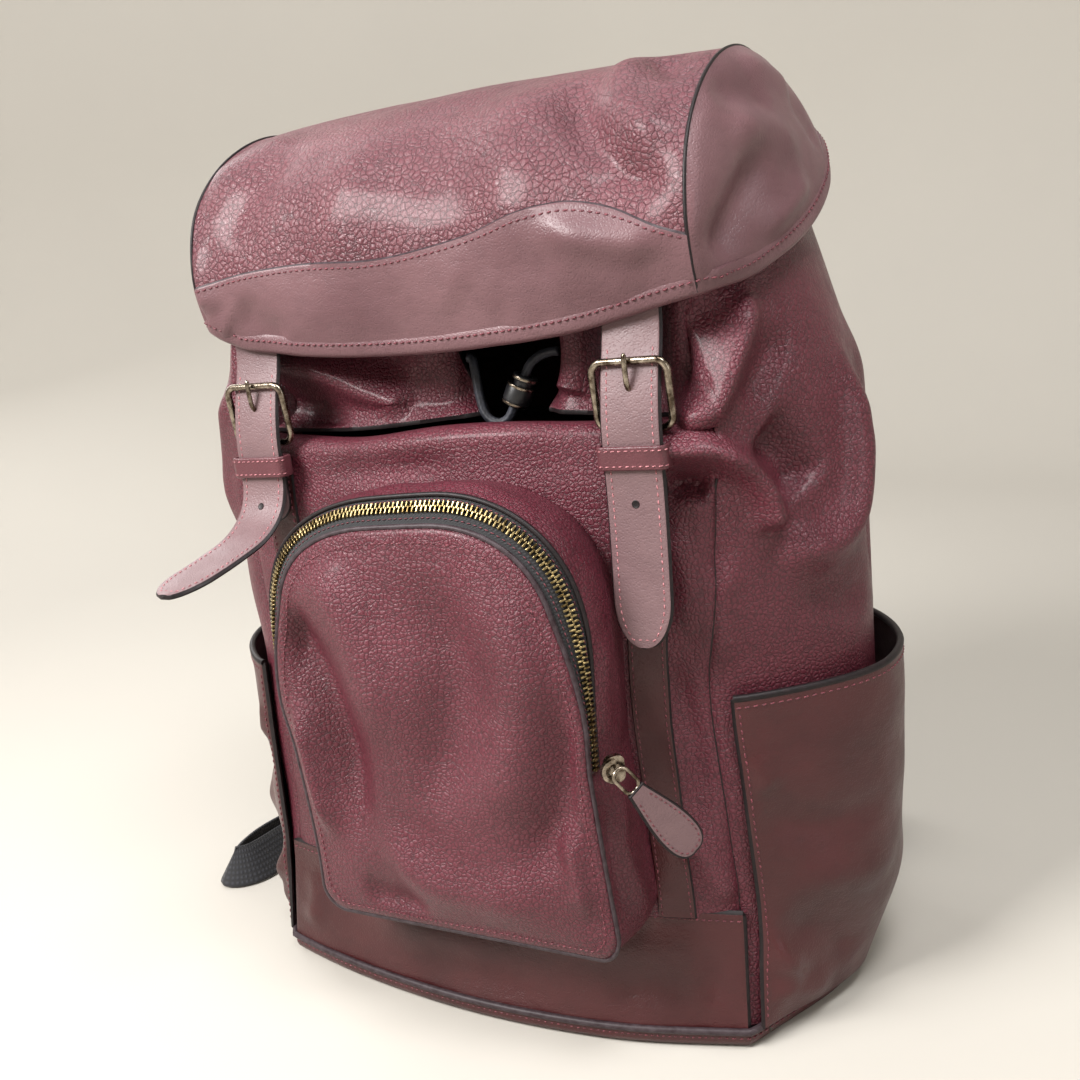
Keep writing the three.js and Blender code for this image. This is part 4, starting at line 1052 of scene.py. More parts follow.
def pocket_calm(u, z):
    """How far the pocket's creases show: not at its sewn sides, and hardly at its rim."""
    sides = smoothstep(np.minimum(u - POCKET_U[0], POCKET_U[1] - u), -0.01, 0.05)
    return sides * (1 - 0.8 * smoothstep(z, POCKET_TOP_Z - 14, POCKET_TOP_Z))


def side_pockets():
    for side, word in SIDES:
        folds = CORNER_FOLDS if side > 0 else [fold.mirrored() for fold in CORNER_FOLDS]
        pocket, points, normal = panel(
            f"side_pocket_leather_{word}", side_surface, np.linspace(*POCKET_U, 110),
            dense_ends(BASE_LIP_Z + 0.8, POCKET_TOP_Z, 90, 7, 6), (BROWN, SUEDE, EDGE), side,
            lift=lambda a, b: pocket_offset(a, b) + 2.6, thickness=2.6, folds=folds,
            uneven=(34, 1.3, 9.0 + side), keep=pocket_calm,
        )
        place(pocket, "bag", "brown_leather", f"side_pocket_{word}")
        row = points.shape[1] - 6
        stitches(f"side_pocket_stitches_{word}", points[:, row], normal[:, row], "bag", "brown_leather")
        rim = points[:, -1] - normal[:, -1] * 1.3 + [0, 0, 0.4]
        bound = sweep(f"side_pocket_rim_{word}", rim, circle(1.75, 10), (EDGE,))
        place(bound, "bag", "brown_leather")
        stitches(f"side_pocket_front_stitches_{word}", points[1, 4:-8], normal[1, 4:-8], "bag",
                 "brown_leather", pitch=3.6)


# ---------------------------------------------------------------- gathered mouth
MOUTH_LINE = Line([(0, -66.5, 293.6), (0, -61, 300), (0, -60, 320), (0, -60, 345), (0, -56, 366)])
LEFT_MOUTH_EDGE = Line([(13, 0, 0), (7, 0, 0), (0, 0, 0), (-3, 0, 0), (-6, 0, 0)])
RIGHT_MOUTH_EDGE = Line([(45, 0, 0), (48, 0, 0), (54, 0, 0), (52, 0, 0), (48, 0, 0)])


def mouth_surface(x, v):
    """The gathered mouth, parted in the middle where its two edges curve away from each other."""
    point = MOUTH_LINE(v)
    left = LEFT_MOUTH_EDGE(v)[..., 0]
    right = RIGHT_MOUTH_EDGE(v)[..., 0]
    drawn = x + (left - 5) * smoothstep(x, -50, 5) * (x < 20)
    drawn = drawn + (right - 53) * smoothstep(-x, -90, -53) * (x > 20)
    tucked = 7 * np.exp(-((drawn - left) / 7) ** 2) + 7 * np.exp(-((drawn - right) / 6) ** 2)
    y = point[..., 1] - 4 * smoothstep(np.abs(x), 104, 118) + tucked
    return np.stack([drawn, y, point[..., 2]], axis=-1)


def mouth_casings():
    left_folds = [
        Fold([(-108, -62, 326), (-80, -64, 322), (-52, -64, 310), (-26, -64, 300)], 8, 10, 0.1),
        Fold([(-112, -62, 306), (-86, -64, 302), (-60, -64, 294)], 6, -5),
        Fold([(-90, -60, 342), (-56, -60, 332), (-24, -62, 314)], 8, -6),
        Fold([(2, -60, 350), (-2, -61, 325), (2, -62, 300)], 9, 7),
        Fold([(-40, -60, 356), (-26, -61, 338), (-18, -62, 318)], 7, 6),
    ]
    right_folds = [
        Fold([(60, -60, 356), (62, -61, 330), (58, -62, 298)], 9, 8, 0.05),
        Fold([(78, -60, 350), (76, -61, 325), (80, -62, 300)], 6, -5),
        Fold([(112, -62, 352), (100, -62, 326), (90, -63, 300)], 9, 5),
    ]
    for word, low, high, folds in (("left", -114, 5, left_folds), ("right", 53, 114, right_folds)):
        casing, points, normal = panel(
            f"mouth_casing_leather_{word}", mouth_surface, np.linspace(low, high, 90), np.linspace(0, 1, 60),
            (PEBBLED, SUEDE, EDGE), folds=folds, uneven=(22, 1.2, 2.0),
            keep=lambda a, b: smoothstep(b, -0.02, 0.18),
        )
        place(casing, "bag", "pebbled_leather", f"mouth_casing_{word}")
        if word == "right":
            stitches("mouth_casing_stitches", points[:30, 48], normal[:30, 48], "bag")


def shoulder_surface(u, v):
    """From the gathered mouth at u 0 out to the side at u 1, and up with v."""
    inward = 1 - np.asarray(u)
    z = lerp(290.0, SIDE_TOP_Z - 2, v)
    start = np.stack([corner_x(z) + 0.5, -corner_y(z) + 0.5, z], axis=-1)
    end = np.stack([np.full_like(z, 99.0), np.full_like(z, -57.5), z - 3 * (1 - v)], axis=-1)
    point = lerp(start, end, inward[..., None])
    point[..., 1] -= 7 * np.sin(np.pi * inward) * (1 - 0.5 * v)
    return point


def shoulders():
    """Soft leather that carries the sides round to the gathered mouth."""
    for side, word in SIDES:
        piece, _, _ = panel(
            f"shoulder_leather_{word}", shoulder_surface, np.linspace(0, 1, 60), np.linspace(0, 1, 80),
            (PEBBLED, SUEDE, PEBBLED), side, folds=BODY_FOLDS, uneven=BODY_SLOUCH, thickness=2.4,
            corner=lambda a, b: smoothstep(a, 0.6, 1),
        )
        place(piece, "bag", "pebbled_leather")


# ---------------------------------------------------------------- front zip pocket
ARCH_TOP, ARCH_FOOT, ARCH_SHOULDER, ARCH_ZIP_END = 268.0, 62.0, 195.0, 150.0
ARCH_HALF, ARCH_HALF_FOOT, ARCH_FLAT = 84.0, 92.0, 15.0
ZIP_BACK_Y, FACE_EDGE_Y = -120.0, -129.0
ZIP_INSET = 11.0
TOOTH_PITCH = 2.3


def bezier(a, b, c, d, count):
    """Points along a cubic curve, its last one left out."""
    t = np.linspace(0, 1, count, endpoint=False)[:, None]
    a, b, c, d = (np.array(p, float) for p in (a, b, c, d))
    return a * (1 - t) ** 3 + 3 * b * t * (1 - t) ** 2 + 3 * c * t * t * (1 - t) + d * t**3


def arch_half(inset=0.0):
    """The right half of the arch above the zip's end, from the end of the zip to the middle of the top."""
    x, top = ARCH_HALF - inset, ARCH_TOP - inset
    leg = np.stack([np.full(20, x), np.linspace(ARCH_ZIP_END, ARCH_SHOULDER, 20, endpoint=False)], axis=1)
    bend = bezier((x, ARCH_SHOULDER), (x, ARCH_SHOULDER + 45), (x - 22, top), (ARCH_FLAT, top), 44)
    crown = np.stack([np.linspace(ARCH_FLAT, 0, 8), np.full(8, top)], axis=1)
    return np.vstack([leg, bend, crown])


def zip_inset(z):
    """How far in from the gusset the face's edge lies, as the zip leans towards the front."""
    return ZIP_INSET * smoothstep(z, 165, 225)


def arch_open(count=220):
    """The zip's line from the right end over the top to the left end, with outward directions."""
    half = arch_half()
    whole = evened(np.vstack([half, half[-2::-1] * [-1, 1]]), count)
    along = unit(np.gradient(whole, axis=0))
    return whole, np.stack([along[:, 1], -along[:, 0]], axis=1)


def arch_closed(count=420):
    """The whole outline, foot included, with its lower corners rounded."""
    half = arch_half()
    corner = 12.0
    foot_x = ARCH_HALF_FOOT
    side = np.stack([np.linspace(foot_x, ARCH_HALF, 24, endpoint=False),
                     np.linspace(ARCH_FOOT + corner, ARCH_ZIP_END, 24, endpoint=False)], axis=1)
    angle = np.linspace(-np.pi / 2, 0, 12, endpoint=False)
    centre = np.array([foot_x - corner, ARCH_FOOT + corner])
    turn = centre + np.stack([np.cos(angle), np.sin(angle)], axis=1) * corner
    floor = np.stack([np.linspace(0, foot_x - corner, 24, endpoint=False), np.full(24, ARCH_FOOT)], axis=1)
    right = np.vstack([floor, turn, side, half])
    loop = evened(np.vstack([right, right[-2:0:-1] * [-1, 1]]), count, closed=True)
    along = loop_tangent(loop)
    return loop, np.stack([along[:, 1], -along[:, 0]], axis=1)


FACE_FOLDS = [
    Fold([(-80, -131, 232), (-66, -131, 210), (-52, -131, 180), (-50, -131, 140), (-56, -131, 96)], 13, -11),
    Fold([(-72, -131, 176), (-76, -131, 140), (-74, -131, 100)], 9, 7),
    Fold([(-50, -131, 250), (-30, -131, 222), (-22, -131, 190), (-22, -131, 150)], 15, 7),
    Fold([(14, -131, 240), (22, -131, 200), (14, -131, 160), (-4, -131, 124)], 14, -6),
    Fold([(48, -131, 236), (56, -131, 200), (48, -131, 156), (26, -131, 118)], 15, 6),
    Fold([(74, -131, 200), (74, -131, 160), (62, -131, 124), (40, -131, 98)], 11, -5),
    Fold([(-40, -131, 116), (-14, -131, 96), (24, -131, 88), (60, -131, 92)], 13, 7),
    Fold([(-64, -131, 82), (-40, -131, 78), (-10, -131, 76)], 8, -4),
    Fold([(66, -131, 130), (76, -131, 106), (80, -131, 84)], 9, 5),
]


GUSSET_FOLDS = [
    Fold([(90, -100, 140), (92, -112, 116), (96, -108, 90), (96, -100, 72)], 6, 4),
    Fold([(88, -120, 132), (94, -122, 100), (95, -116, 78)], 5, -3),
    Fold([(86, -104, 210), (88, -112, 180), (88, -108, 150)], 6, 2),
    Fold([(-86, -108, 220), (-90, -112, 160), (-94, -108, 100)], 7, 3),
    Fold([(60, -104, 255), (30, -108, 268), (-20, -106, 270), (-60, -102, 258)], 6, 1.6),
]
FACE_MIDDLE = (0.0, 155.0)


def pocket_face(loop, out):
    """The padded-looking face: rings of its outline, drawn in to its middle and crowned."""
    count, z = len(loop), loop[:, 1]
    rim = loop - out * zip_inset(z)[:, None]
    shares = np.concatenate([[1.0, 0.985, 0.965, 0.94], np.linspace(0.91, 0.0004, 58)])
    drop = 1 - shares
    crown = 7.0 * (1 - shares**2) ** 0.75 + 1.2 * smoothstep(drop, 0, 0.02)
    grid = np.zeros((count, len(shares), 3))
    for k, share in enumerate(shares):
        ring = lerp(np.array(FACE_MIDDLE), rim, share)
        grid[:, k, 0] = ring[:, 0]
        grid[:, k, 1] = FACE_EDGE_Y + 1.0 - crown[k]
        grid[:, k, 2] = ring[:, 1]
    calm = smoothstep(drop, 0.02, 0.16)[None, :]
    grid[..., 1] -= folded(grid * [1, 0, 1] + [0, -131, 0], FACE_FOLDS, (40, 2.0, 13.0)) * calm
    grid[..., 2] -= 3.0 * calm * smoothstep(grid[..., 2], 110, 66)
    face = shell("zip_pocket_face_leather", grid, grid + [0, 2.2, 0], (PEBBLED, SUEDE, EDGE_GREY),
                 closed=True, flip=True)
    place(face, "bag", "pebbled_leather", "zip_pocket_face")
    edge = rim + out * 0.4
    beads = np.stack([edge[:, 0], np.full(count, FACE_EDGE_Y + 1.2), edge[:, 1]], axis=1)
    bead = sweep("zip_pocket_face_edge", beads, circle(1.25, 8), (EDGE_GREY,), closed=True)
    place(bead, "bag", "pebbled_leather")
    normal = np.stack([out[:, 0] * 0.5, np.full(count, -1.0), out[:, 1] * 0.5], axis=1)
    again = np.append(np.arange(count), 0)
    stitches("zip_pocket_face_stitches", grid[again, 3], normal[again], "bag")


def pocket_gusset(loop, out):
    """The wall from the front panel out to the zip, and on to the face below the zip's ends."""
    z = loop[:, 1]
    depth = np.linspace(0, 1, 26)
    wall = np.zeros((len(loop), len(depth), 3))
    back_y = front_y(loop[:, 0] / corner_x(z), z) - 0.6
    reach = np.where(z < ARCH_ZIP_END, FACE_EDGE_Y + 1.6, ZIP_BACK_Y + 0.3)
    for k, share in enumerate(depth):
        belly = 1.6 * math.sin(math.pi * share)
        wall[:, k, 0] = loop[:, 0] + out[:, 0] * belly
        wall[:, k, 1] = lerp(back_y, reach, share)
        wall[:, k, 2] = loop[:, 1] + out[:, 1] * belly
    outward = np.stack([out[:, 0], np.zeros(len(loop)), out[:, 1]], axis=1)[:, None]
    rise = folded(wall, GUSSET_FOLDS, (18, 1.4, 17.0)) * np.sin(np.pi * depth)[None, :] ** 0.6
    wall += outward * rise[..., None]
    leather = (PEBBLED, SUEDE, EDGE)
    gusset = shell("zip_pocket_gusset_leather", wall, wall - outward * 2.2, leather, closed=True)
    place(gusset, "bag", "pebbled_leather", "zip_pocket_gusset")


def zip_pocket():
    loop, out = arch_closed()
    pocket_face(loop, out)
    pocket_gusset(loop, out)
    zip_fastener()


def zip_place(line, out, share, proud=0.0):
    """Places across the zip: share 0 at the gusset, 1 at the face's edge, standing proud of the tape."""
    inset = zip_inset(line[:, 1])
    rise = np.full(len(line), FACE_EDGE_Y + 1.0 - ZIP_BACK_Y)
    span = np.stack([-out[:, 0] * inset, rise, -out[:, 1] * inset], axis=1)
    up = unit(np.stack([out[:, 0] * 9, -inset, out[:, 1] * 9], axis=1))
    foot = np.stack([line[:, 0], np.full(len(line), ZIP_BACK_Y), line[:, 1]], axis=1)
    return foot + span * share + up * proud, up, unit(span)


def zip_teeth(line, out):
    """Two rows of small tapered blocks that mesh along the middle of the tape."""
    pairs = int(run_along(line)[-1] / TOOTH_PITCH)
    corners = np.array([[x, y, z] for x in (-1, 1) for y in (-1, 1) for z in (-1, 1)], float)
    tooth = corners.copy()
    tooth[:, 0] *= np.where(corners[:, 2] > 0, 0.8, 1.0)
    tooth_faces = [[0, 1, 3, 2], [4, 6, 7, 5], [0, 4, 5, 1], [2, 3, 7, 6], [0, 2, 6, 4], [1, 5, 7, 3]]
    steps = np.linspace(0, 1, len(line))
    points, faces = [], []
    for row, lean in ((0, -1), (1, 1)):
        wanted = (np.arange(pairs) + 0.5 * row + 0.25) / pairs
        spots = np.stack([np.interp(wanted, steps, line[:, k]) for k in range(2)], axis=1)
        outs = unit(np.stack([np.interp(wanted, steps, out[:, k]) for k in range(2)], axis=1))
        centre, up, across = zip_place(spots, outs, 0.36, 1.15)
        along = np.cross(up, across)
        centre = centre + across * lean * 1.15
        for k in range(pairs):
            axes = np.array([along[k] * 0.52, across[k] * 1.45, up[k] * 0.75])
            first = len(points)
            points += list(centre[k] + tooth @ axes)
            faces += [[first + v for v in face] for face in tooth_faces]
    teeth = mesh_object("zip_brass_teeth", points, faces, (BRASS,), sharp=30)
    soften(teeth, 0.00018)
    place(teeth, "bag", "antique_brass", "zip_teeth")


def zip_fastener():
    line, out = arch_open()
    _, up, _ = zip_place(line, out, 0.5)
    rows = []
    for share in np.linspace(-0.04, 1.04, 12):
        bow = 0.3 * math.sin(math.pi * max(min(share, 1), 0))
        rows.append(zip_place(line, out, share, bow)[0])
    outer = np.stack(rows, axis=1)
    tape = shell("zip_tape_cloth", outer, outer - up[:, None], (TAPE, TAPE, TAPE))
    place(tape, "bag", "zip_tape_fabric", "zip_tape")
    zip_teeth(line, out)
    for name, share, proud in (("outer", 0.12, 0.5), ("inner", 0.72, 0.55)):
        row, normal, _ = zip_place(line, out, share, proud)
        stitches(f"zip_tape_{name}_stitches", row, normal, "bag", "zip_tape_fabric", THREAD, 2.8, 2.0, 0.25)
    bead, _, _ = zip_place(line, out, -0.06, 0.3)
    place(sweep("gusset_edge", bead, circle(1.2, 8), (EDGE,)), "bag", "pebbled_leather")


# ---------------------------------------------------------------- zip slider and pull
SLIDER_AT = np.array([86.8, -123.3, 154.0])
SLIDER_TURN = -0.75
PULL_LIFT, PULL_LEAN = 0.16, 0.6
LINK_LENGTH = 12.0
LINK_FOOT = 1.4 - LINK_LENGTH


def on_slider(points):
    return turned(points, (SLIDER_TURN, "Z")) + SLIDER_AT


def hung(points):
    """From the pull's own place, straight down from its link, to where it hangs."""
    return on_slider(turned(points, (PULL_LEAN, "X"), (-PULL_LIFT, "Y")) + [7.6, 0, -0.4])


PULL_TAB_HALF = 1.25
PULL_TAB_TIP = -38.4


def pull_tab_outline():
    """The drop-shaped outline of the pull tab, and its directions outwards."""
    half = bezier((4.2, 1.5), (6.5, -10), (9.5, -20), (8.5, -30), 26)
    tip = bezier((8.5, -30), (7.6, -37), (3.8, -39), (0, PULL_TAB_TIP), 16)
    right = np.vstack([half, tip])
    points = evened(np.vstack([right, [[0, PULL_TAB_TIP]], (right * [-1, 1])[::-1]]), 120)
    along = loop_tangent(points)
    out = np.stack([-along[:, 1], along[:, 0]], axis=1)
    return points, out if np.sum(out * (points - [0, -18])) > 0 else -out


def tab_layer(outline_points, height):
    drop = LINK_FOOT - 1.0
    flat = np.full(len(outline_points), height)
    return np.stack([flat, outline_points[:, 0], outline_points[:, 1] + drop], axis=1)


def zip_slider():
    """The slider, and from it the wire link and the leather tab that hang on the zip's pull."""
    slider = bpy.data.objects[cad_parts["zip_slider"].name]
    dress(slider, NICKEL, 0.00035, 3, math.radians(30))

    loop = rounded_loop(7, LINK_LENGTH, 3.0)[:, [1, 0, 2]]
    loop[:, 2] += 1.4 - LINK_LENGTH / 2
    ring = sweep("pull_link_wire", hung(loop), circle(0.8, 12), (NICKEL,), closed=True)
    place(ring, "zip_pull", "antique_nickel", "pull_link")

    points, out = pull_tab_outline()
    thick = PULL_TAB_HALF
    levels = ((-1.0, thick), (-0.35, thick), (0.0, thick * 0.55),
              (0.0, -thick * 0.55), (-0.35, -thick), (-1.0, -thick))
    layers = [hung(tab_layer(points + out * inset, height)) for inset, height in levels]
    tab = layered_tab("pull_tab_leather", layers, range(5), (STRAP, EDGE))
    place(tab, "zip_pull", "strap_leather", "pull_tab")
    sewn = (points - out * 2.2)[6:-6]
    for face_side, word in ((1, "front"), (-1, "back")):
        facing = np.array([[face_side, 0.0, 0.0]])
        normal = turned(facing, (PULL_LEAN, "X"), (-PULL_LIFT, "Y"), (SLIDER_TURN, "Z"))
        stitches(f"pull_tab_stitches_{word}", hung(tab_layer(sewn, face_side * thick)),
                 np.tile(normal, (len(sewn), 1)), "zip_pull", "strap_leather", THREAD, 2.6, 1.9, 0.3)


# ---------------------------------------------------------------- flap
FLAP_MIDDLE = Line([(0, -86, 326), (0, -91, 350), (0, -91.5, 372), (0, -84, 398), (0, -66, 420),
                    (0, -35, 434), (0, 0, 439), (0, 32, 432), (0, 52, 418), (0, 63, 403)])
FLAP_SEAM = Line([(128, -84, 338), (128, -89, 352), (128, -91, 370), (128, -83, 396), (128, -62, 417),
                  (128, -32, 431), (128, 0, 435), (128, 31, 428), (128, 50, 416), (128, 62, 402)])
FLAP_EDGE = Line([(131, -82, 341), (136, -72, 342), (142, -59, 344), (147, -46, 348), (152, -33, 353),
                  (155, -17, 359), (157, -1, 367), (156, 17, 376), (150, 38, 387), (138, 60, 400)])


def flap_surface(u, s):
    """The whole flap: |u| to 1 is its top, 1 to 2 its hoods; s runs from the front edge to the hinge."""
    u, s = np.broadcast_arrays(np.asarray(u, float), np.asarray(s, float))
    across = np.abs(u)
    seam = FLAP_SEAM(s)
    top = lerp(FLAP_MIDDLE(s), seam, (np.minimum(across, 1) ** 2)[..., None])
    top[..., 0] = across * FLAP_SEAM_X
    turn = np.clip(across - 1, 0, 1.02) * math.pi / 2
    edge = FLAP_EDGE(s)
    even = turn / (math.pi / 2)
    swing = np.stack([lerp(np.sin(turn), even, 0.35), lerp(1 - np.cos(turn), even, 0.3),
                      lerp(1 - np.cos(turn), even, 0.45)], axis=-1)
    hood = lerp(seam, edge, swing)
    point = np.where((across <= 1)[..., None], top, hood)
    point[..., 0] *= np.where(u < 0, -1 + 0.07 * (1 - smoothstep(s, 0.5, 0.95)), 1)
    return point


wave_seam = stations((-1, 0.175), (-0.8, 0.2), (-0.45, 0.203), (-0.1, 0.185), (0.25, 0.212), (0.5, 0.25),
                     (0.72, 0.252), (0.9, 0.2), (1, 0.15), soften=0.12)


TOP_FOLDS = [
    Fold([(122, -84, 372), (108, -86, 384), (92, -82, 398), (78, -66, 418), (74, -44, 431)], 9, -6.5),
    Fold([(124, -78, 400), (112, -78, 402), (98, -66, 414), (92, -44, 428), (94, -20, 434)], 9, 4.5),
    Fold([(122, -86, 360), (104, -90, 362), (84, -91, 366), (64, -90, 372)], 7, 4.0),
    Fold([(124, -56, 422), (112, -48, 428), (104, -30, 433)], 7, -4.5),
    Fold([(118, -82, 384), (100, -84, 386), (84, -86, 380)], 4, -2.4),
    Fold([(52, -88, 356), (56, -86, 384), (52, -72, 410), (46, -44, 432)], 18, 4.0),
    Fold([(20, -86, 372), (14, -70, 416), (10, -40, 434)], 20, -3.0),
    Fold([(-124, -84, 384), (-116, -88, 366), (-112, -88, 350)], 8, 4.0),
    Fold([(-118, -72, 404), (-98, -60, 420), (-80, -40, 432)], 13, 3.0),
    Fold([(-100, -86, 380), (-84, -80, 402), (-60, -62, 420)], 11, -2.6),
    Fold([(-40, -88, 364), (-30, -84, 390), (-34, -66, 416)], 16, 2.4),
]
BAND_DENTS = [
    Fold([(-96, -90, 356), (-84, -89, 344), (-70, -87, 334)], 9, -2.6),
    Fold([(-118, -88, 350), (-104, -88, 340)], 9, 2.0),
    Fold([(20, -91, 352), (34, -90, 340), (50, -89, 332)], 14, -1.6),
    Fold([(70, -90, 362), (88, -89, 352), (110, -87, 344)], 12, 1.8),
]
HOOD_FOLDS = [
    Fold([(132, -84, 348), (140, -74, 362), (147, -58, 378), (150, -40, 394)], 9, -8),
    Fold([(138, -66, 394), (148, -48, 400), (154, -28, 398), (157, -12, 386)], 9, 5.5),
    Fold([(134, -66, 414), (144, -44, 416), (150, -22, 412)], 8, -5),
    Fold([(146, -56, 358), (153, -34, 368), (157, -12, 380)], 6, 4.0),
    Fold([(148, 0, 420), (155, 12, 404), (157, 22, 392)], 9, -4),
    Fold([(134, -30, 428), (144, -8, 424), (148, 10, 418)], 7, 3.0),
]


def flap_lift(u, s):
    """Rounds the flap's front corners up: the left one in a tight curve, the right one gently."""
    left = 0.05 * smoothstep(-u, 0.84, 1.0)
    right = 0.018 * smoothstep(u, 0.55, 1.0)
    return (left + right) * np.clip(1 - s, 0, 1) ** 6


FLAP_FOLDS = TOP_FOLDS + BAND_DENTS
FLAP_SLOUCH = (48, 1.6, 21.0)


def flap_calm(u, s):
    return smoothstep(1 - np.abs(u), 0.0, 0.04) * 0.9 + 0.1


def band_surface(u, b):
    return flap_surface(u, lerp(flap_lift(u, 0), wave_seam(u) + 0.006, b))


def top_surface(u, b):
    return flap_surface(u, lerp(wave_seam(u) - 0.012, 1, b))


def hood_calm(u, s):
    return smoothstep(np.minimum(u - 1, 2 - u), -0.02, 0.16) * smoothstep(s, 0.02, 0.2)


def hood(side, word):
    """One end of the flap, from its seam with the top down to the free edge."""
    def surface(a, b):
        return flap_surface(a * side, b + flap_lift(a * side, b)) * [side, 1, 1]

    folds = HOOD_FOLDS if side > 0 else [fold.mirrored() for fold in HOOD_FOLDS]
    piece, _, _ = panel(
        f"flap_hood_leather_{word}", surface, dense_ends(1.0, 2.0, 70, 0.06, 5), np.linspace(0.0, 1, 120),
        (SMOOTH, SUEDE, EDGE_GREY), side, folds=folds, uneven=(40, 1.6, 23.0 + side), keep=hood_calm,
        lift=0.4,
    )
    place(piece, "flap", "smooth_leather", f"flap_hood_{word}")
    start = 0.02 if side > 0 else 0.06
    seam = flap_surface(np.full(120, side * 1.0), np.linspace(start, 0.99, 120))
    place(sweep(f"flap_hood_seam_{word}", seam, circle(0.8, 8), (EDGE,)), "flap", "smooth_leather")


def flap():
    u = dense_ends(-1.0, 1.0, 170, 0.03, 4)
    top, _, _ = panel(
        "flap_top_leather", top_surface, u, np.linspace(0, 1, 130), (PEBBLED_FLAP_PAINTED_SHEEN, SUEDE, EDGE),
        folds=FLAP_FOLDS, uneven=FLAP_SLOUCH, keep=flap_calm, thickness=2.6,
    )
    place(top, "flap", "pebbled_leather", "flap_top")
    band, points, normal = panel(
        "flap_band_leather", band_surface, u, dense_ends(0, 1, 40, 0.12, 6), (SMOOTH, SUEDE, EDGE_GREY),
        lift=1.0, thickness=3.0, folds=FLAP_FOLDS, uneven=FLAP_SLOUCH, keep=flap_calm,
    )
    place(band, "flap", "smooth_leather", "flap_front_band")
    row = points.shape[1] - 5
    stitches("flap_wave_stitches", points[2:-2, row], normal[2:-2, row], "flap", "smooth_leather")
    for side, word in SIDES:
        hood(side, word)
    flap_binding()
    flap_hinge()
    under, _, _ = panel(
        "flap_lining_cloth", flap_surface, np.linspace(-0.97, 0.97, 90), np.linspace(0.03, 0.97, 80),
        (LINING, LINING, LINING), lift=-3.6, thickness=1.2, uneven=(30, 1.0, 26.0), folds=TOP_FOLDS,
    )
    place(under, "flap", "lining_fabric", "flap_lining")


HINGE_LINE = Line([(0, 55.4, 388), (0, 55.4, 395), (0, 54.4, 401.6), (0, 51.4, 405.1), (0, 48.4, 408.6)])


def hinge_surface(u, v):
    """Up the inside of the back panel and on inside the flap, bowed as they are."""
    point = HINGE_LINE(v)
    bow = BACK_BULGE * (1 - u * u) * (1 - smoothstep(v, 0.2, 0.6))
    return np.stack([u * 124.0, point[..., 1] + bow, point[..., 2]], axis=-1)


def flap_hinge():
    """The strip of leather that joins the flap to the back."""
    strip, _, _ = panel(
        "flap_hinge_leather", hinge_surface, np.linspace(-1, 1, 60), np.linspace(0, 1, 40),
        (SUEDE, BROWN, EDGE), thickness=1.6,
    )
    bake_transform(strip)


def flap_edge_paths():
    """The flap's free edge from the left hinge round to the right one, and a line just inside it."""
    down = np.linspace(0.99, 0.06, 120)
    up = np.linspace(0.03, 0.99, 120)
    front = np.linspace(-0.995, 0.995, 220)
    lift = flap_lift(front, 0)
    near_edge = np.array([0, 0.01])
    _, _, edge, normal = surface_grid(lambda a, b: flap_surface(a, flap_lift(a, 0) + b), front, near_edge)
    rise = folded(edge, FLAP_FOLDS, FLAP_SLOUCH) * flap_calm(front, 0)[:, None]
    shift = normal[:, 0] * rise[:, :1]
    ends = [(np.full(120, x), at) for x, at in ((-2.0, down), (2.0, up))]
    inner_ends = [(np.full(120, x), at) for x, at in ((-1.9, down), (1.9, up))]
    path = np.vstack([flap_surface(*ends[0]), edge[:, 0] + shift, flap_surface(*ends[1])])
    middle = flap_surface(front, lift + 0.03) + shift
    inner = np.vstack([flap_surface(*inner_ends[0]), middle, flap_surface(*inner_ends[1])])
    both = evened(np.hstack([path, inner]), 620)
    kernel = np.hanning(15) / np.hanning(15).sum()
    padded = np.pad(both, ((7, 7), (0, 0)), mode="edge")
    both = np.stack([np.convolve(padded[:, k], kernel, "valid") for k in range(6)], axis=1)
    return both[:, :3], both[:, 3:]


def flap_binding():
    """The folded strip bound round the flap's free edge, with its row of stitches."""
    path, inner = flap_edge_paths()
    along = unit(np.gradient(path, axis=0))
    inward = unit(inner - path)
    inward = unit(inward - along * np.sum(inward * along, axis=1, keepdims=True))
    outward = np.cross(along, inward)
    under_flap = np.array([0.0, 0.0, 380.0])
    outward *= np.where(np.sum(outward * (path - under_flap), axis=1, keepdims=True) < 0, -1, 1)
    line = path - outward * 1.2
    angle = np.linspace(np.pi / 2, 3 * np.pi / 2, 9)
    nose = np.stack([1.0 + np.cos(angle) * 3.0, np.sin(angle) * 2.9], axis=1)
    section = np.vstack([[(7.6, 1.0), (5.8, 2.5)], nose, [(6.0, -2.7), (6.8, -2.0)]])
    strip = sweep("flap_binding", line, section, (SMOOTH,), (inward, outward))
    place(recalculated(strip), "flap", "smooth_leather")
    stitches("flap_edge_stitches", line + inward * 4.9 + outward * 2.75, outward, "flap", "smooth_leather")


# ---------------------------------------------------------------- closure straps and their fittings
STRAP_HEAD = [(-80.7, 330.5), (-83.2, 321), (-86.6, 312), (-89.8, 301), (-91.9, 290), (-92.7, 278)]
STRAP_ROOT = [(-81.5, 360), (-80.2, 345)]
TAILS = {
    "right": [(-92.9, 266), (-94.3, 245), (-97, 220), (-100, 198)],
    "left": [(-93.2, 268), (-98, 256), (-108.5, 246.5), (-127, 240), (-160, 233)],
}
SPARE_HOLE = (258.0, 1.5)
BUCKLE_TILT = 0.093
PRONG_PLACES = [(-86.4, 290.6), (-86.5, 295), (-86.7, 300), (-88.5, 303),
                (-91.4, 306.4), (-92.1, 311), (-92.2, 316), (-92.0, 319.5)]
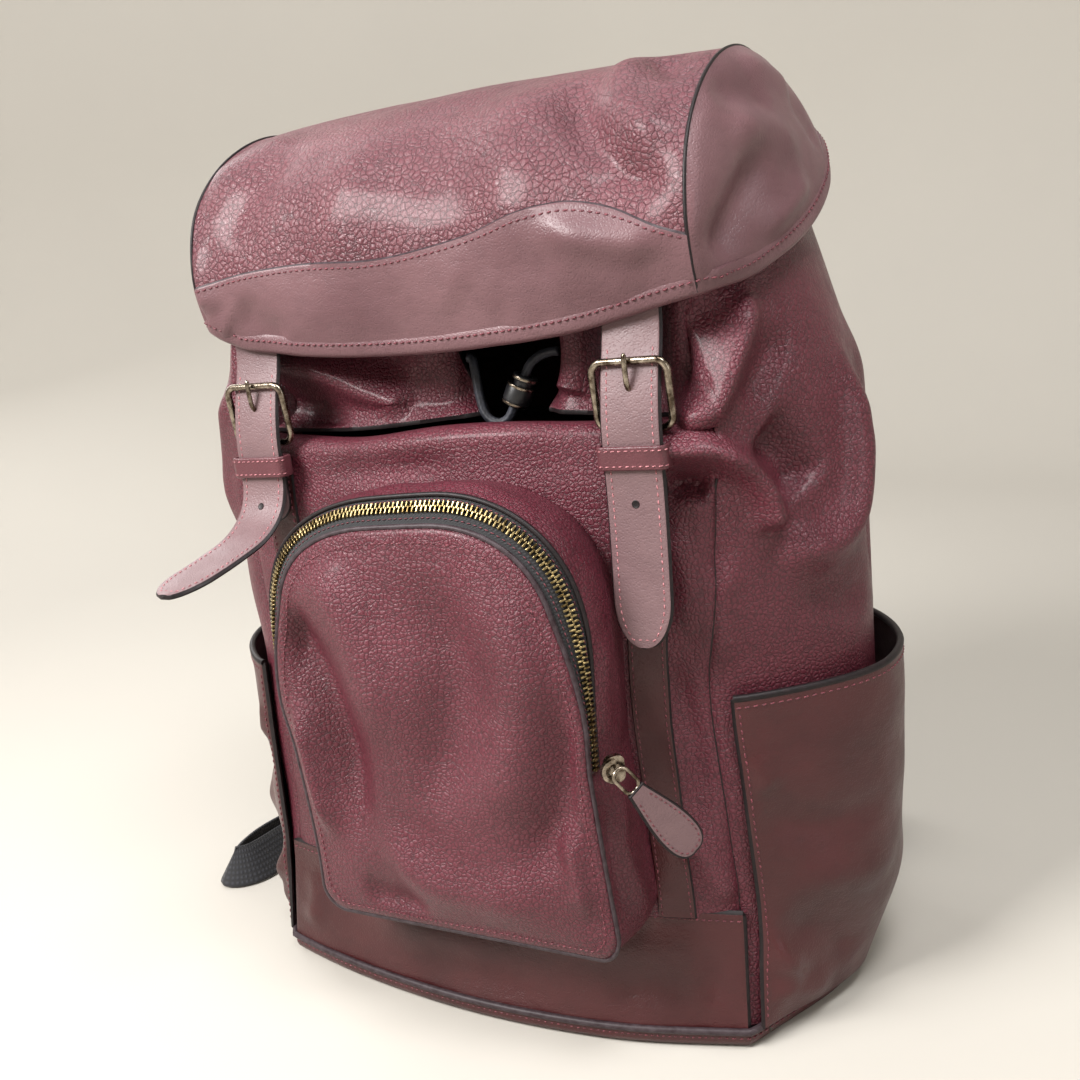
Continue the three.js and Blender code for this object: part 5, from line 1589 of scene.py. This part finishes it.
# Levels of the press-stud tab: the share of its outline, and how far in front of its middle.
TAB_LEVELS = ((0.02, 0.7), (0.9, 0.7), (0.97, 0.62), (1.0, 0.3),
              (1.0, -0.3), (0.97, -0.62), (0.9, -0.7), (0.02, -0.7))
SNAP_PROFILE = [(0.02, 0), (6.4, 0), (7.0, 0.35), (6.7, 1.0), (4.6, 1.25), (4.0, 1.0), (2.4, 1.0),
                (2.0, 1.3), (0.02, 1.3)]


def closure_strap(side, word):
    """A strap sewn under the flap that hangs to a rounded point, stitched all round."""
    body = f"closure_{word}"
    line = Line([(0, y, z) for y, z in STRAP_ROOT + STRAP_HEAD + TAILS[word]])
    share = np.unique(np.concatenate([np.linspace(0, 1, 150), 1 - np.linspace(0, 22, 40) / line.length]))
    to_tip = (1 - share) * line.length
    half = STRAP_WIDTH / 2 * np.sqrt(np.clip(1 - (np.clip(20 - to_tip, 0, None) / 20.4) ** 2, 0.02, 1))
    lean = 10 * smoothstep(share, 0.55, 1.0) if side < 0 else 0
    middle = line.even(share)
    middle[:, 0] += side * CLOSURE_X - lean
    out = np.cross(line.tangent(share), [1.0, 0.0, 0.0])
    across = np.linspace(-1, 1, 33)
    points = middle[:, None] + np.array([1.0, 0, 0]) * (half[:, None] * across)[..., None]
    bow = 0.35 * (1 - across**2)
    top = points + out[:, None] * (STRAP_THICKNESS / 2 + bow[None, :, None])
    low = points - out[:, None] * STRAP_THICKNESS / 2
    strap = recalculated(shell(f"closure_strap_leather_{word}", top, low, (STRAP, SUEDE, EDGE)))
    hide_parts(f"closure_strap_{word}")
    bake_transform(strap)

    inset = 2.6
    keep = to_tip > inset + 0.4
    reach = np.maximum(half - inset, 0)[keep, None] * [1, 0, 0]
    ring = np.vstack([middle[keep] + reach, (middle[keep] - reach)[::-1]])
    ring_out = np.vstack([out[keep], out[keep][::-1]])
    ring = ring + ring_out * (STRAP_THICKNESS / 2 + 0.1)
    clear = np.flatnonzero(ring[:, 2] < 322)
    sewn = slice(clear[0], clear[-1] + 1)
    stitches(f"closure_strap_stitches_{word}", ring[sewn], ring_out[sewn], body, "strap_leather",
             THREAD_ROSE, 3.1, 2.3, 0.33)
    z, radius = SPARE_HOLE
    k = int(np.argmin(np.abs(middle[:, 2] - z)))
    rim = [(0.05, 0.78), (radius * 0.8, 0.78), (radius, 0.9), (radius + 0.25, 0.72),
           (radius, 0.2), (0.05, 0.2)]
    hole = lathe(f"closure_strap_hole_{word}", rim, (EDGE,), middle[k] + out[k] * 0.9, out[k], 24)
    place(hole, body, "strap_leather")


def buckles(side, word):
    """The wire frame of a buckle, and its prong with the eye it tilts on."""
    x = side * CLOSURE_X
    foot = np.array([x, -86.2, 288.0])
    loop = turned(rounded_loop(33, 28, 5, 120) + [0, 0, 14], (BUCKLE_TILT, "X")) + foot
    wire = sweep(f"buckle_wire_{word}", loop, circle(1.65, 16), (NICKEL,), closed=True)
    place(wire, f"closure_{word}", "antique_nickel", f"buckle_frame_{word}")

    prong_line = Line([(x, y, z) for y, z in PRONG_PLACES])
    share = np.concatenate([np.linspace(0, 0.93, 40), np.linspace(0.94, 0.999, 8)])
    line = prong_line.even(share)
    across = np.tile([1.0, 0, 0], (len(line), 1))
    up = np.cross(across, prong_line.tangent(share))
    tip = np.sqrt(np.clip(1 - (np.clip(share - 0.93, 0, None) / 0.072) ** 2, 0.03, 1))[:, None, None]
    section = circle(1, 12)[None]
    grid = line[:, None] + across[:, None] * section[..., :1] * 1.2 * tip
    grid = grid + up[:, None] * section[..., 1:] * 1.15 * tip * 0.85
    faces = tube_faces(*grid.shape[:2])
    prong = mesh_object(f"buckle_prong_rod_{word}", grid.reshape(-1, 3), faces, (NICKEL,))
    place(prong, f"prong_{word}", "antique_nickel", f"buckle_prong_{word}")
    ring = rounded_loop(5.7, 5.7, 2.84, 48)[:, [1, 0, 2]] + foot
    eye = sweep(f"buckle_prong_eye_{word}", ring, circle(0.78, 10), (NICKEL,), closed=True)
    place(eye, f"prong_{word}", "antique_nickel")


def keepers(side, word):
    """The leather loop that holds the strap below its buckle."""
    body = f"closure_{word}"
    middle = [side * CLOSURE_X, -91.5, 277.5]
    loop = rounded_loop(29.4, 8.2, 2.6, 120)[:, [0, 2, 1]] + middle
    along = loop_tangent(loop)
    out = np.stack([along[:, 1], -along[:, 0], np.zeros(len(loop))], axis=1)
    if np.sum(out * (loop - middle)) < 0:
        out = -out
    up = np.tile([0, 0, 1.0], (len(loop), 1))
    section = flat_section(10, 1.7, 0.4)
    band = sweep(f"strap_keeper_leather_{word}", loop, section, (KEEPER,), (up, out), closed=True)
    place(recalculated(band), body, "strap_leather", f"strap_keeper_{word}")
    front = loop[:, 1] < middle[1]
    order = np.argsort(loop[front][:, 0])
    line, normal = loop[front][order], out[front][order]
    for name, level in (("low", -3.2), ("high", 3.2)):
        stitches(f"strap_keeper_{name}_stitches_{word}", line + normal * 0.86 + [0, 0, level], normal, body,
                 "strap_leather", THREAD_ROSE, 2.8, 2.0, 0.3)


def closure_tabs(side, word):
    """The press-stud tab behind the buckle, with its cap and its socket on the bag."""
    x = side * CLOSURE_X
    body = f"closure_{word}"
    half, top, snap_z = 12.0, 284.0, 261.0
    angle = np.linspace(np.pi, 2 * np.pi, 40)
    arc = np.stack([np.cos(angle) * half, snap_z + np.sin(angle) * half], axis=1)
    shape = evened(np.vstack([[-half, top], arc, [half, top], [-half, top]]), 160)[:-1]
    layers = []
    for scale, depth in TAB_LEVELS:
        ring = lerp(np.array([0, 270.0]), shape, scale)
        layers.append(np.stack([ring[:, 0] + x, np.full(len(ring), -90.3 - depth), ring[:, 1]], axis=1))
    tab = layered_tab(f"closure_tab_leather_{word}", layers, (2, 3, 4), (STRAP, EDGE))
    place(tab, body, "strap_leather", f"closure_tab_{word}")
    for name, start, rider in (("snap_cap", -89.1, body), ("snap_socket", -87.4, "bag")):
        stud = lathe(f"{name}_metal_{word}", SNAP_PROFILE, (NICKEL,), (x, start, snap_z), (0, 1, 0), 36)
        place(stud, rider, "antique_nickel", f"{name}_{word}")


# ---------------------------------------------------------------- drawstring and cord lock
CORD_ROUTE = [
    (6.1, -58.6, 318.4), (7.9, -58.8, 317.8), (9.4, -60, 314.2), (10.6, -61.4, 307.5), (11.9, -62.6, 300),
    (14, -63.8, 293.5), (17.5, -64.4, 289.6), (21.8, -64.6, 288.2), (25.8, -64.2, 289.6), (28.6, -63.4, 293.4),
    (31, -62.6, 298.4), (33.6, -61.9, 304), (36.4, -61.5, 309.4), (39.4, -60.7, 313.8), (43.8, -59.4, 316.9),
    (48.6, -58.7, 318.2), (52.4, -58.6, 318.4),
]
LOCK_FOOT = (29.6, -63.05, 295.4)
LOCK_AXIS = (0.434, 0.102, 0.895)
LOCK_BORE = CORD_RADIUS + 0.9
BARREL_PROFILE = [(LOCK_BORE, 0), (5.2, 0), (5.8, 0.5), (6.0, 2.2), (6.4, 2.5), (6.4, 9.0), (6.1, 9.8),
                  (5.6, 10), (4.7, 10), (4.7, 4.4), (LOCK_BORE, 4.4)]
BUTTON_PROFILE = [(LOCK_BORE, 7.7), (4.3, 7.7), (4.3, 13), (5.4, 13), (5.8, 13.4), (5.8, 15.2),
                  (5.4, 15.6), (LOCK_BORE, 15.6)]
# Metal rims of the cord lock: name, radius, height and the body they ride on.
LOCK_RIMS = (("foot", 5.9, 1.2, "bag"), ("top", 6.25, 9.4, "bag"), ("cap", 5.6, 14.3, "cord_lock_button"))


def drawstring():
    route = Line(CORD_ROUTE)
    line = route.even(np.linspace(0, 1, 260))
    along = unit(np.gradient(line, axis=0))
    across, up = steady_frames(along)
    run = np.linspace(0, route.length, len(line))
    count = 30
    angle = np.arange(count) / count * 2 * np.pi
    plait = 0.5 + 0.5 * np.cos(5 * angle[None]) * np.cos(run[:, None] * 2.4)
    ribs = np.abs(np.cos(2.5 * angle[None]))
    radius = CORD_RADIUS * (0.86 + 0.10 * ribs + 0.04 * plait)
    grid = line[:, None] + across[:, None] * (np.cos(angle) * radius)[..., None]
    grid = grid + up[:, None] * (np.sin(angle) * radius)[..., None]
    faces = tube_faces(*grid.shape[:2])
    cord = mesh_object("drawstring_braid", grid.reshape(-1, 3), faces, (BRAID,), sharp=180)
    place(cord, "bag", "drawcord", "drawstring")
    body = lathe("cord_lock_barrel", BARREL_PROFILE, (BLACK_PLASTIC,), LOCK_FOOT, LOCK_AXIS)
    place(body, "bag", "black_plastic", "cord_lock_body")
    button = lathe("cord_lock_cap", BUTTON_PROFILE, (BLACK_PLASTIC,), LOCK_FOOT, LOCK_AXIS)
    place(button, "cord_lock_button", "black_plastic", "cord_lock_button")
    for name, radius, height, rider in LOCK_RIMS:
        ring = [(radius - 0.4, height - 0.7), (radius + 0.35, height - 0.5), (radius + 0.45, height),
                (radius + 0.35, height + 0.5), (radius - 0.4, height + 0.7)]
        rim = lathe(f"cord_lock_rim_{name}", ring, (NICKEL,), LOCK_FOOT, LOCK_AXIS)
        place(rim, rider, "antique_nickel")


# ---------------------------------------------------------------- back, handle and shoulder straps
HANDLE_LINE = Line([(-36, 71.5, 386), (-35.5, 73.6, 376), (-33, 76.6, 358), (-22, 79, 344), (0, 79.8, 339),
                    (22, 79, 344), (33, 76.6, 358), (35.5, 73.6, 376), (36, 71.5, 386)])
PAD_LINE = Line([(73, 80.5, 374), (73.5, 83.5, 330), (75, 85.5, 270), (78, 86, 205), (84, 84, 138)])
BACK_PAD_HALF_U = 0.78
WEBBING_THICKNESS = 1.8


def back_pad():
    """Foam under leather, quilted by sewn channels."""
    channels = [118.0, 196.0, 274.0]
    heights = np.linspace(55, 338, 190)

    def lift(u, z):
        across = 1 - (np.abs(u) / BACK_PAD_HALF_U) ** 5
        up = 1 - np.abs((z - 196.5) / 141.5) ** 7
        height = 2.4 + 6.6 * np.clip(across, 0, 1) ** 0.6 * np.clip(up, 0, 1) ** 0.6
        for channel in channels:
            height = height - 4.4 * np.exp(-((z - channel) / 5.5) ** 2) * np.clip(across, 0, 1)
        height = height - 4.0 * np.exp(-((np.abs(u) - 0.16) / 0.035) ** 2) * np.clip(up, 0, 1)
        return height

    pad, points, normal = panel(
        "back_pad_leather", back_surface, np.linspace(-BACK_PAD_HALF_U, BACK_PAD_HALF_U, 150), heights,
        (PADDED, SUEDE, EDGE), lift=lift, thickness=2.0, uneven=(30, 0.9, 31.0),
    )
    place(pad, "bag", "padded_leather", "back_pad")
    for k, channel in enumerate(channels):
        row = int(np.argmin(np.abs(heights - channel)))
        stitches(f"back_pad_channel_{k}", points[6:-6, row], normal[6:-6, row], "bag", "padded_leather")
    for name, row in (("left", 4), ("right", -5)):
        stitches(f"back_pad_edge_{name}", points[row, 4:-4], normal[row, 4:-4], "bag", "padded_leather")

    yoke, points, normal = panel(
        "back_yoke_leather", back_surface, np.linspace(-0.86, 0.86, 80), dense_ends(344, 396, 24, 4, 4),
        (BROWN, SUEDE, EDGE), lift=2.8, thickness=2.4, uneven=(30, 0.6, 33.0),
    )
    place(yoke, "bag", "brown_leather", "back_yoke")
    for name, row in (("low", 3), ("high", -4)):
        stitches(f"back_yoke_{name}_stitches", points[2:-2, row], normal[2:-2, row], "bag", "brown_leather")


def handle():
    """The padded carrying handle, folded down against the back."""
    share = np.linspace(0, 1, 120)
    line = HANDLE_LINE.even(share)
    along = HANDLE_LINE.tangent(share)
    across = unit(np.cross([0.0, 1.0, 0.0], along))
    out = np.cross(along, across)
    out = np.where(out[:, 1:2] < 0, -out, out)
    grip = sweep("handle_leather", line, flat_section(11, 6.5, 0.48, 14), (BROWN,), (across, out))
    place(recalculated(grip), "handle", "brown_leather", "handle")
    for sign, word in ((1, "outer"), (-1, "inner")):
        edge = line + across * sign * 3.6 + out * 3.15
        stitches(f"handle_stitches_{word}", edge[6:-6], out[6:-6], "handle", "brown_leather")


def pad_width(v):
    return lerp(54, 40, smoothstep(v, 0.2, 1)) * (1 - 0.25 * smoothstep(v, 0.93, 1))


def shoulder_pad(side, word):
    """Foam in leather: flat, with rounded sides that are piped and stitched."""
    body = f"strap_{word}"
    flip = np.array([side, 1, 1])
    right = np.array([1.0, 0, 0])
    share = np.linspace(0, 1, 150)
    line = PAD_LINE.even(share)
    half = pad_width(share) / 2
    angle = np.linspace(0, 2 * np.pi, 48, endpoint=False)
    pinch = 1 - 0.25 * np.exp(-((share[:, None] - np.array([0.0, 1.0])) / 0.02) ** 2).sum(axis=1)
    across = np.sign(np.cos(angle)) * np.abs(np.cos(angle)) ** 0.5
    through = np.sign(np.sin(angle)) * np.abs(np.sin(angle)) ** 0.75
    out = np.cross(PAD_LINE.tangent(share), right)
    out = np.where(out[:, 1:2] < 0, -out, out)
    thick = 5.4 * pinch[:, None] * through * (1 - 0.35 * np.abs(across) ** 6)
    grid = line[:, None] + right * (half[:, None] * across)[..., None] + out[:, None] * thick[..., None]
    grid = (grid * flip).reshape(-1, 3)
    faces = tube_faces(len(share), len(angle))
    pad = recalculated(mesh_object(f"shoulder_pad_leather_{word}", grid, faces, (PADDED,), sharp=70))
    place(pad, body, "padded_leather", f"shoulder_pad_{word}")
    for sign, name in ((1, "outer"), (-1, "inner")):
        row = line + right * (sign * (half - 5))[:, None] + out * 5.0 * pinch[:, None]
        stitches(f"shoulder_pad_{name}_stitches_{word}", (row * flip)[5:-5], (out * flip)[5:-5], body,
                 "padded_leather")
        piping = (line + right * (sign * half)[:, None]) * flip
        cord = sweep(f"shoulder_pad_{name}_piping_{word}", piping, circle(1.2, 8), (EDGE,))
        place(cord, body, "padded_leather")


def shoulder_straps():
    for side, word in SIDES:
        shoulder_pad(side, word)
        body = f"strap_{word}"
        flip = np.array([side, 1, 1])
        lock = np.array([84.0, 84.0, 120.0])
        loop = (rounded_loop(33, 26, 5, 100) + lock) * flip
        wire = sweep(f"ladder_lock_wire_{word}", loop, circle(2.0, 14), (NICKEL,), closed=True)
        place(wire, body, "antique_nickel", f"ladder_lock_{word}")
        rung = np.array([lock + [x, 0, 0] for x in np.linspace(-15.5, 15.5, 12)]) * flip
        place(sweep(f"ladder_lock_bar_{word}", rung, circle(1.7, 12), (NICKEL,)), body, "antique_nickel")


GROUND = {
    "right": [(104, 71.6, 31), (104.5, 79, 20), (113, 91, 13), (132, 98, 11.4), (147, 114, 11.4), (142, 134, 11.4),
              (120, 138, 11.4), (103, 124, 12), (94, 109, 15), (89, 99.5, 22)],
    "left": [(-104, 71.6, 31), (-104.5, 75, 20), (-114, 85, 13), (-146, 84, 11.4), (-180, 52, 11.4), (-204, 0, 11.4),
             (-214, -40, 11.4), (-226, -46, 11.4), (-232, -18, 11.4), (-214, 40, 11.4), (-178, 96, 11.4),
             (-128, 124, 11.6), (-98, 113, 15), (-89, 99.5, 22)],
}
HANGING_WEB = Line([(84, 88, 134), (84, 88.2, 118), (84.5, 88.4, 90), (86, 89, 50), (88, 91, 20)])


def ribbon(name, line, across, out):
    """Webbing that runs along a line."""
    section = flat_section(STRAP_WIDTH, WEBBING_THICKNESS, 0.4, 12)
    return recalculated(sweep(name, line, section, (WEBBING,), (across, out)))


def ground_webbing(word):
    """Webbing that stands on its edge in a slack bend on the ground, and lies level at both its ends."""
    route = Line(GROUND[word])
    share = np.linspace(0, 1, 240)
    line = route.even(share)
    along = route.tangent(share)
    lean = smoothstep(share, 0, 0.25) * (1 - smoothstep(share, 0.75, 1))
    flat = unit(np.cross([0.0, 0.0, 1.0], along))
    leaning = unit(flat * -0.55 + np.array([0, 0, 0.83]))
    level = np.where(share[:, None] < 0.5, [[-1.0, 0, 0]], [[1.0, 0, 0]])
    across = unit(lerp(level, leaning, lean[:, None]))
    across = unit(across - along * np.sum(across * along, axis=1, keepdims=True))
    band = ribbon(f"ground_webbing_band_{word}", line, across, np.cross(along, across))
    place(band, "bag", "webbing", f"ground_webbing_{word}")


def hanging_webbing(side, word):
    """Webbing from the ladder lock down to the ground."""
    hang = HANGING_WEB.even(np.linspace(0, 1, 90)) * [side, 1, 1]
    sideways = np.tile([1.0, 0, 0], (len(hang), 1))
    outward = np.cross(sideways, unit(np.gradient(hang, axis=0)))
    strap = ribbon(f"strap_webbing_band_{word}", hang, sideways, outward)
    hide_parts(f"strap_webbing_{word}")
    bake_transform(strap)


def webbing():
    """Lower webbing: from its corner tab it lies in a slack bend on the ground and rises to the strap."""
    for side, word in SIDES:
        ground_webbing(word)
        hanging_webbing(side, word)
        dress(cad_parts[f"webbing_anchor_{word}"], BROWN, 0.0006)
        corners = ((-17, 15), (-12, 36), (12, 36), (17, 15), (-17, 15))
        path = evened(np.array([(104 * side + x, 69.35, z) for x, z in corners]), 90)
        backwards = np.tile([0, 1.0, 0], (90, 1))
        stitches(f"webbing_anchor_stitches_{word}", path, backwards, "bag", "brown_leather")


# ---------------------------------------------------------------- inside
def inside():
    """The lining, which follows the dips of the leather, and the pieces kept from the CAD."""
    heights = np.linspace(8, 276, 70)
    rings, normals = [], []
    for z in heights:
        loop, normal = outline(float(z), 260, 6.4)
        wrinkle = slouch(loop, 24, 1.2, 41.0) - 0.6
        dip = np.minimum(folded(loop[:, None] + normal[:, None] * 6.4, BODY_FOLDS)[:, 0], 0)
        rings.append(loop + normal * (wrinkle + dip)[:, None])
        normals.append(normal)
    outer = np.stack(rings, axis=1)
    inner = outer - np.stack(normals, axis=1)
    wall = recalculated(shell("lining_bag", outer, inner, (LINING, LINING, LINING), closed=True))
    place(wall, "bag", "lining_fabric", "lining")
    for name, material, width in (("laptop_sleeve", LINING, 0.0008), ("slip_pocket", LINING, 0.0006),
                                  ("base_board", BOARD, 0.0006), ("cord_lock_spring", NICKEL, 0.0001)):
        dress(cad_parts[name], material, width)


make_camera()
drawstring()
make_studio()
base()
body_panels()
strap_bands()
side_pockets()
mouth_casings()
shoulders()
zip_pocket()
zip_slider()
flap()
for strap in SIDES:
    closure_strap(*strap)
    buckles(*strap)
    keepers(*strap)
    closure_tabs(*strap)
back_pad()
handle()
shoulder_straps()
webbing()
inside()
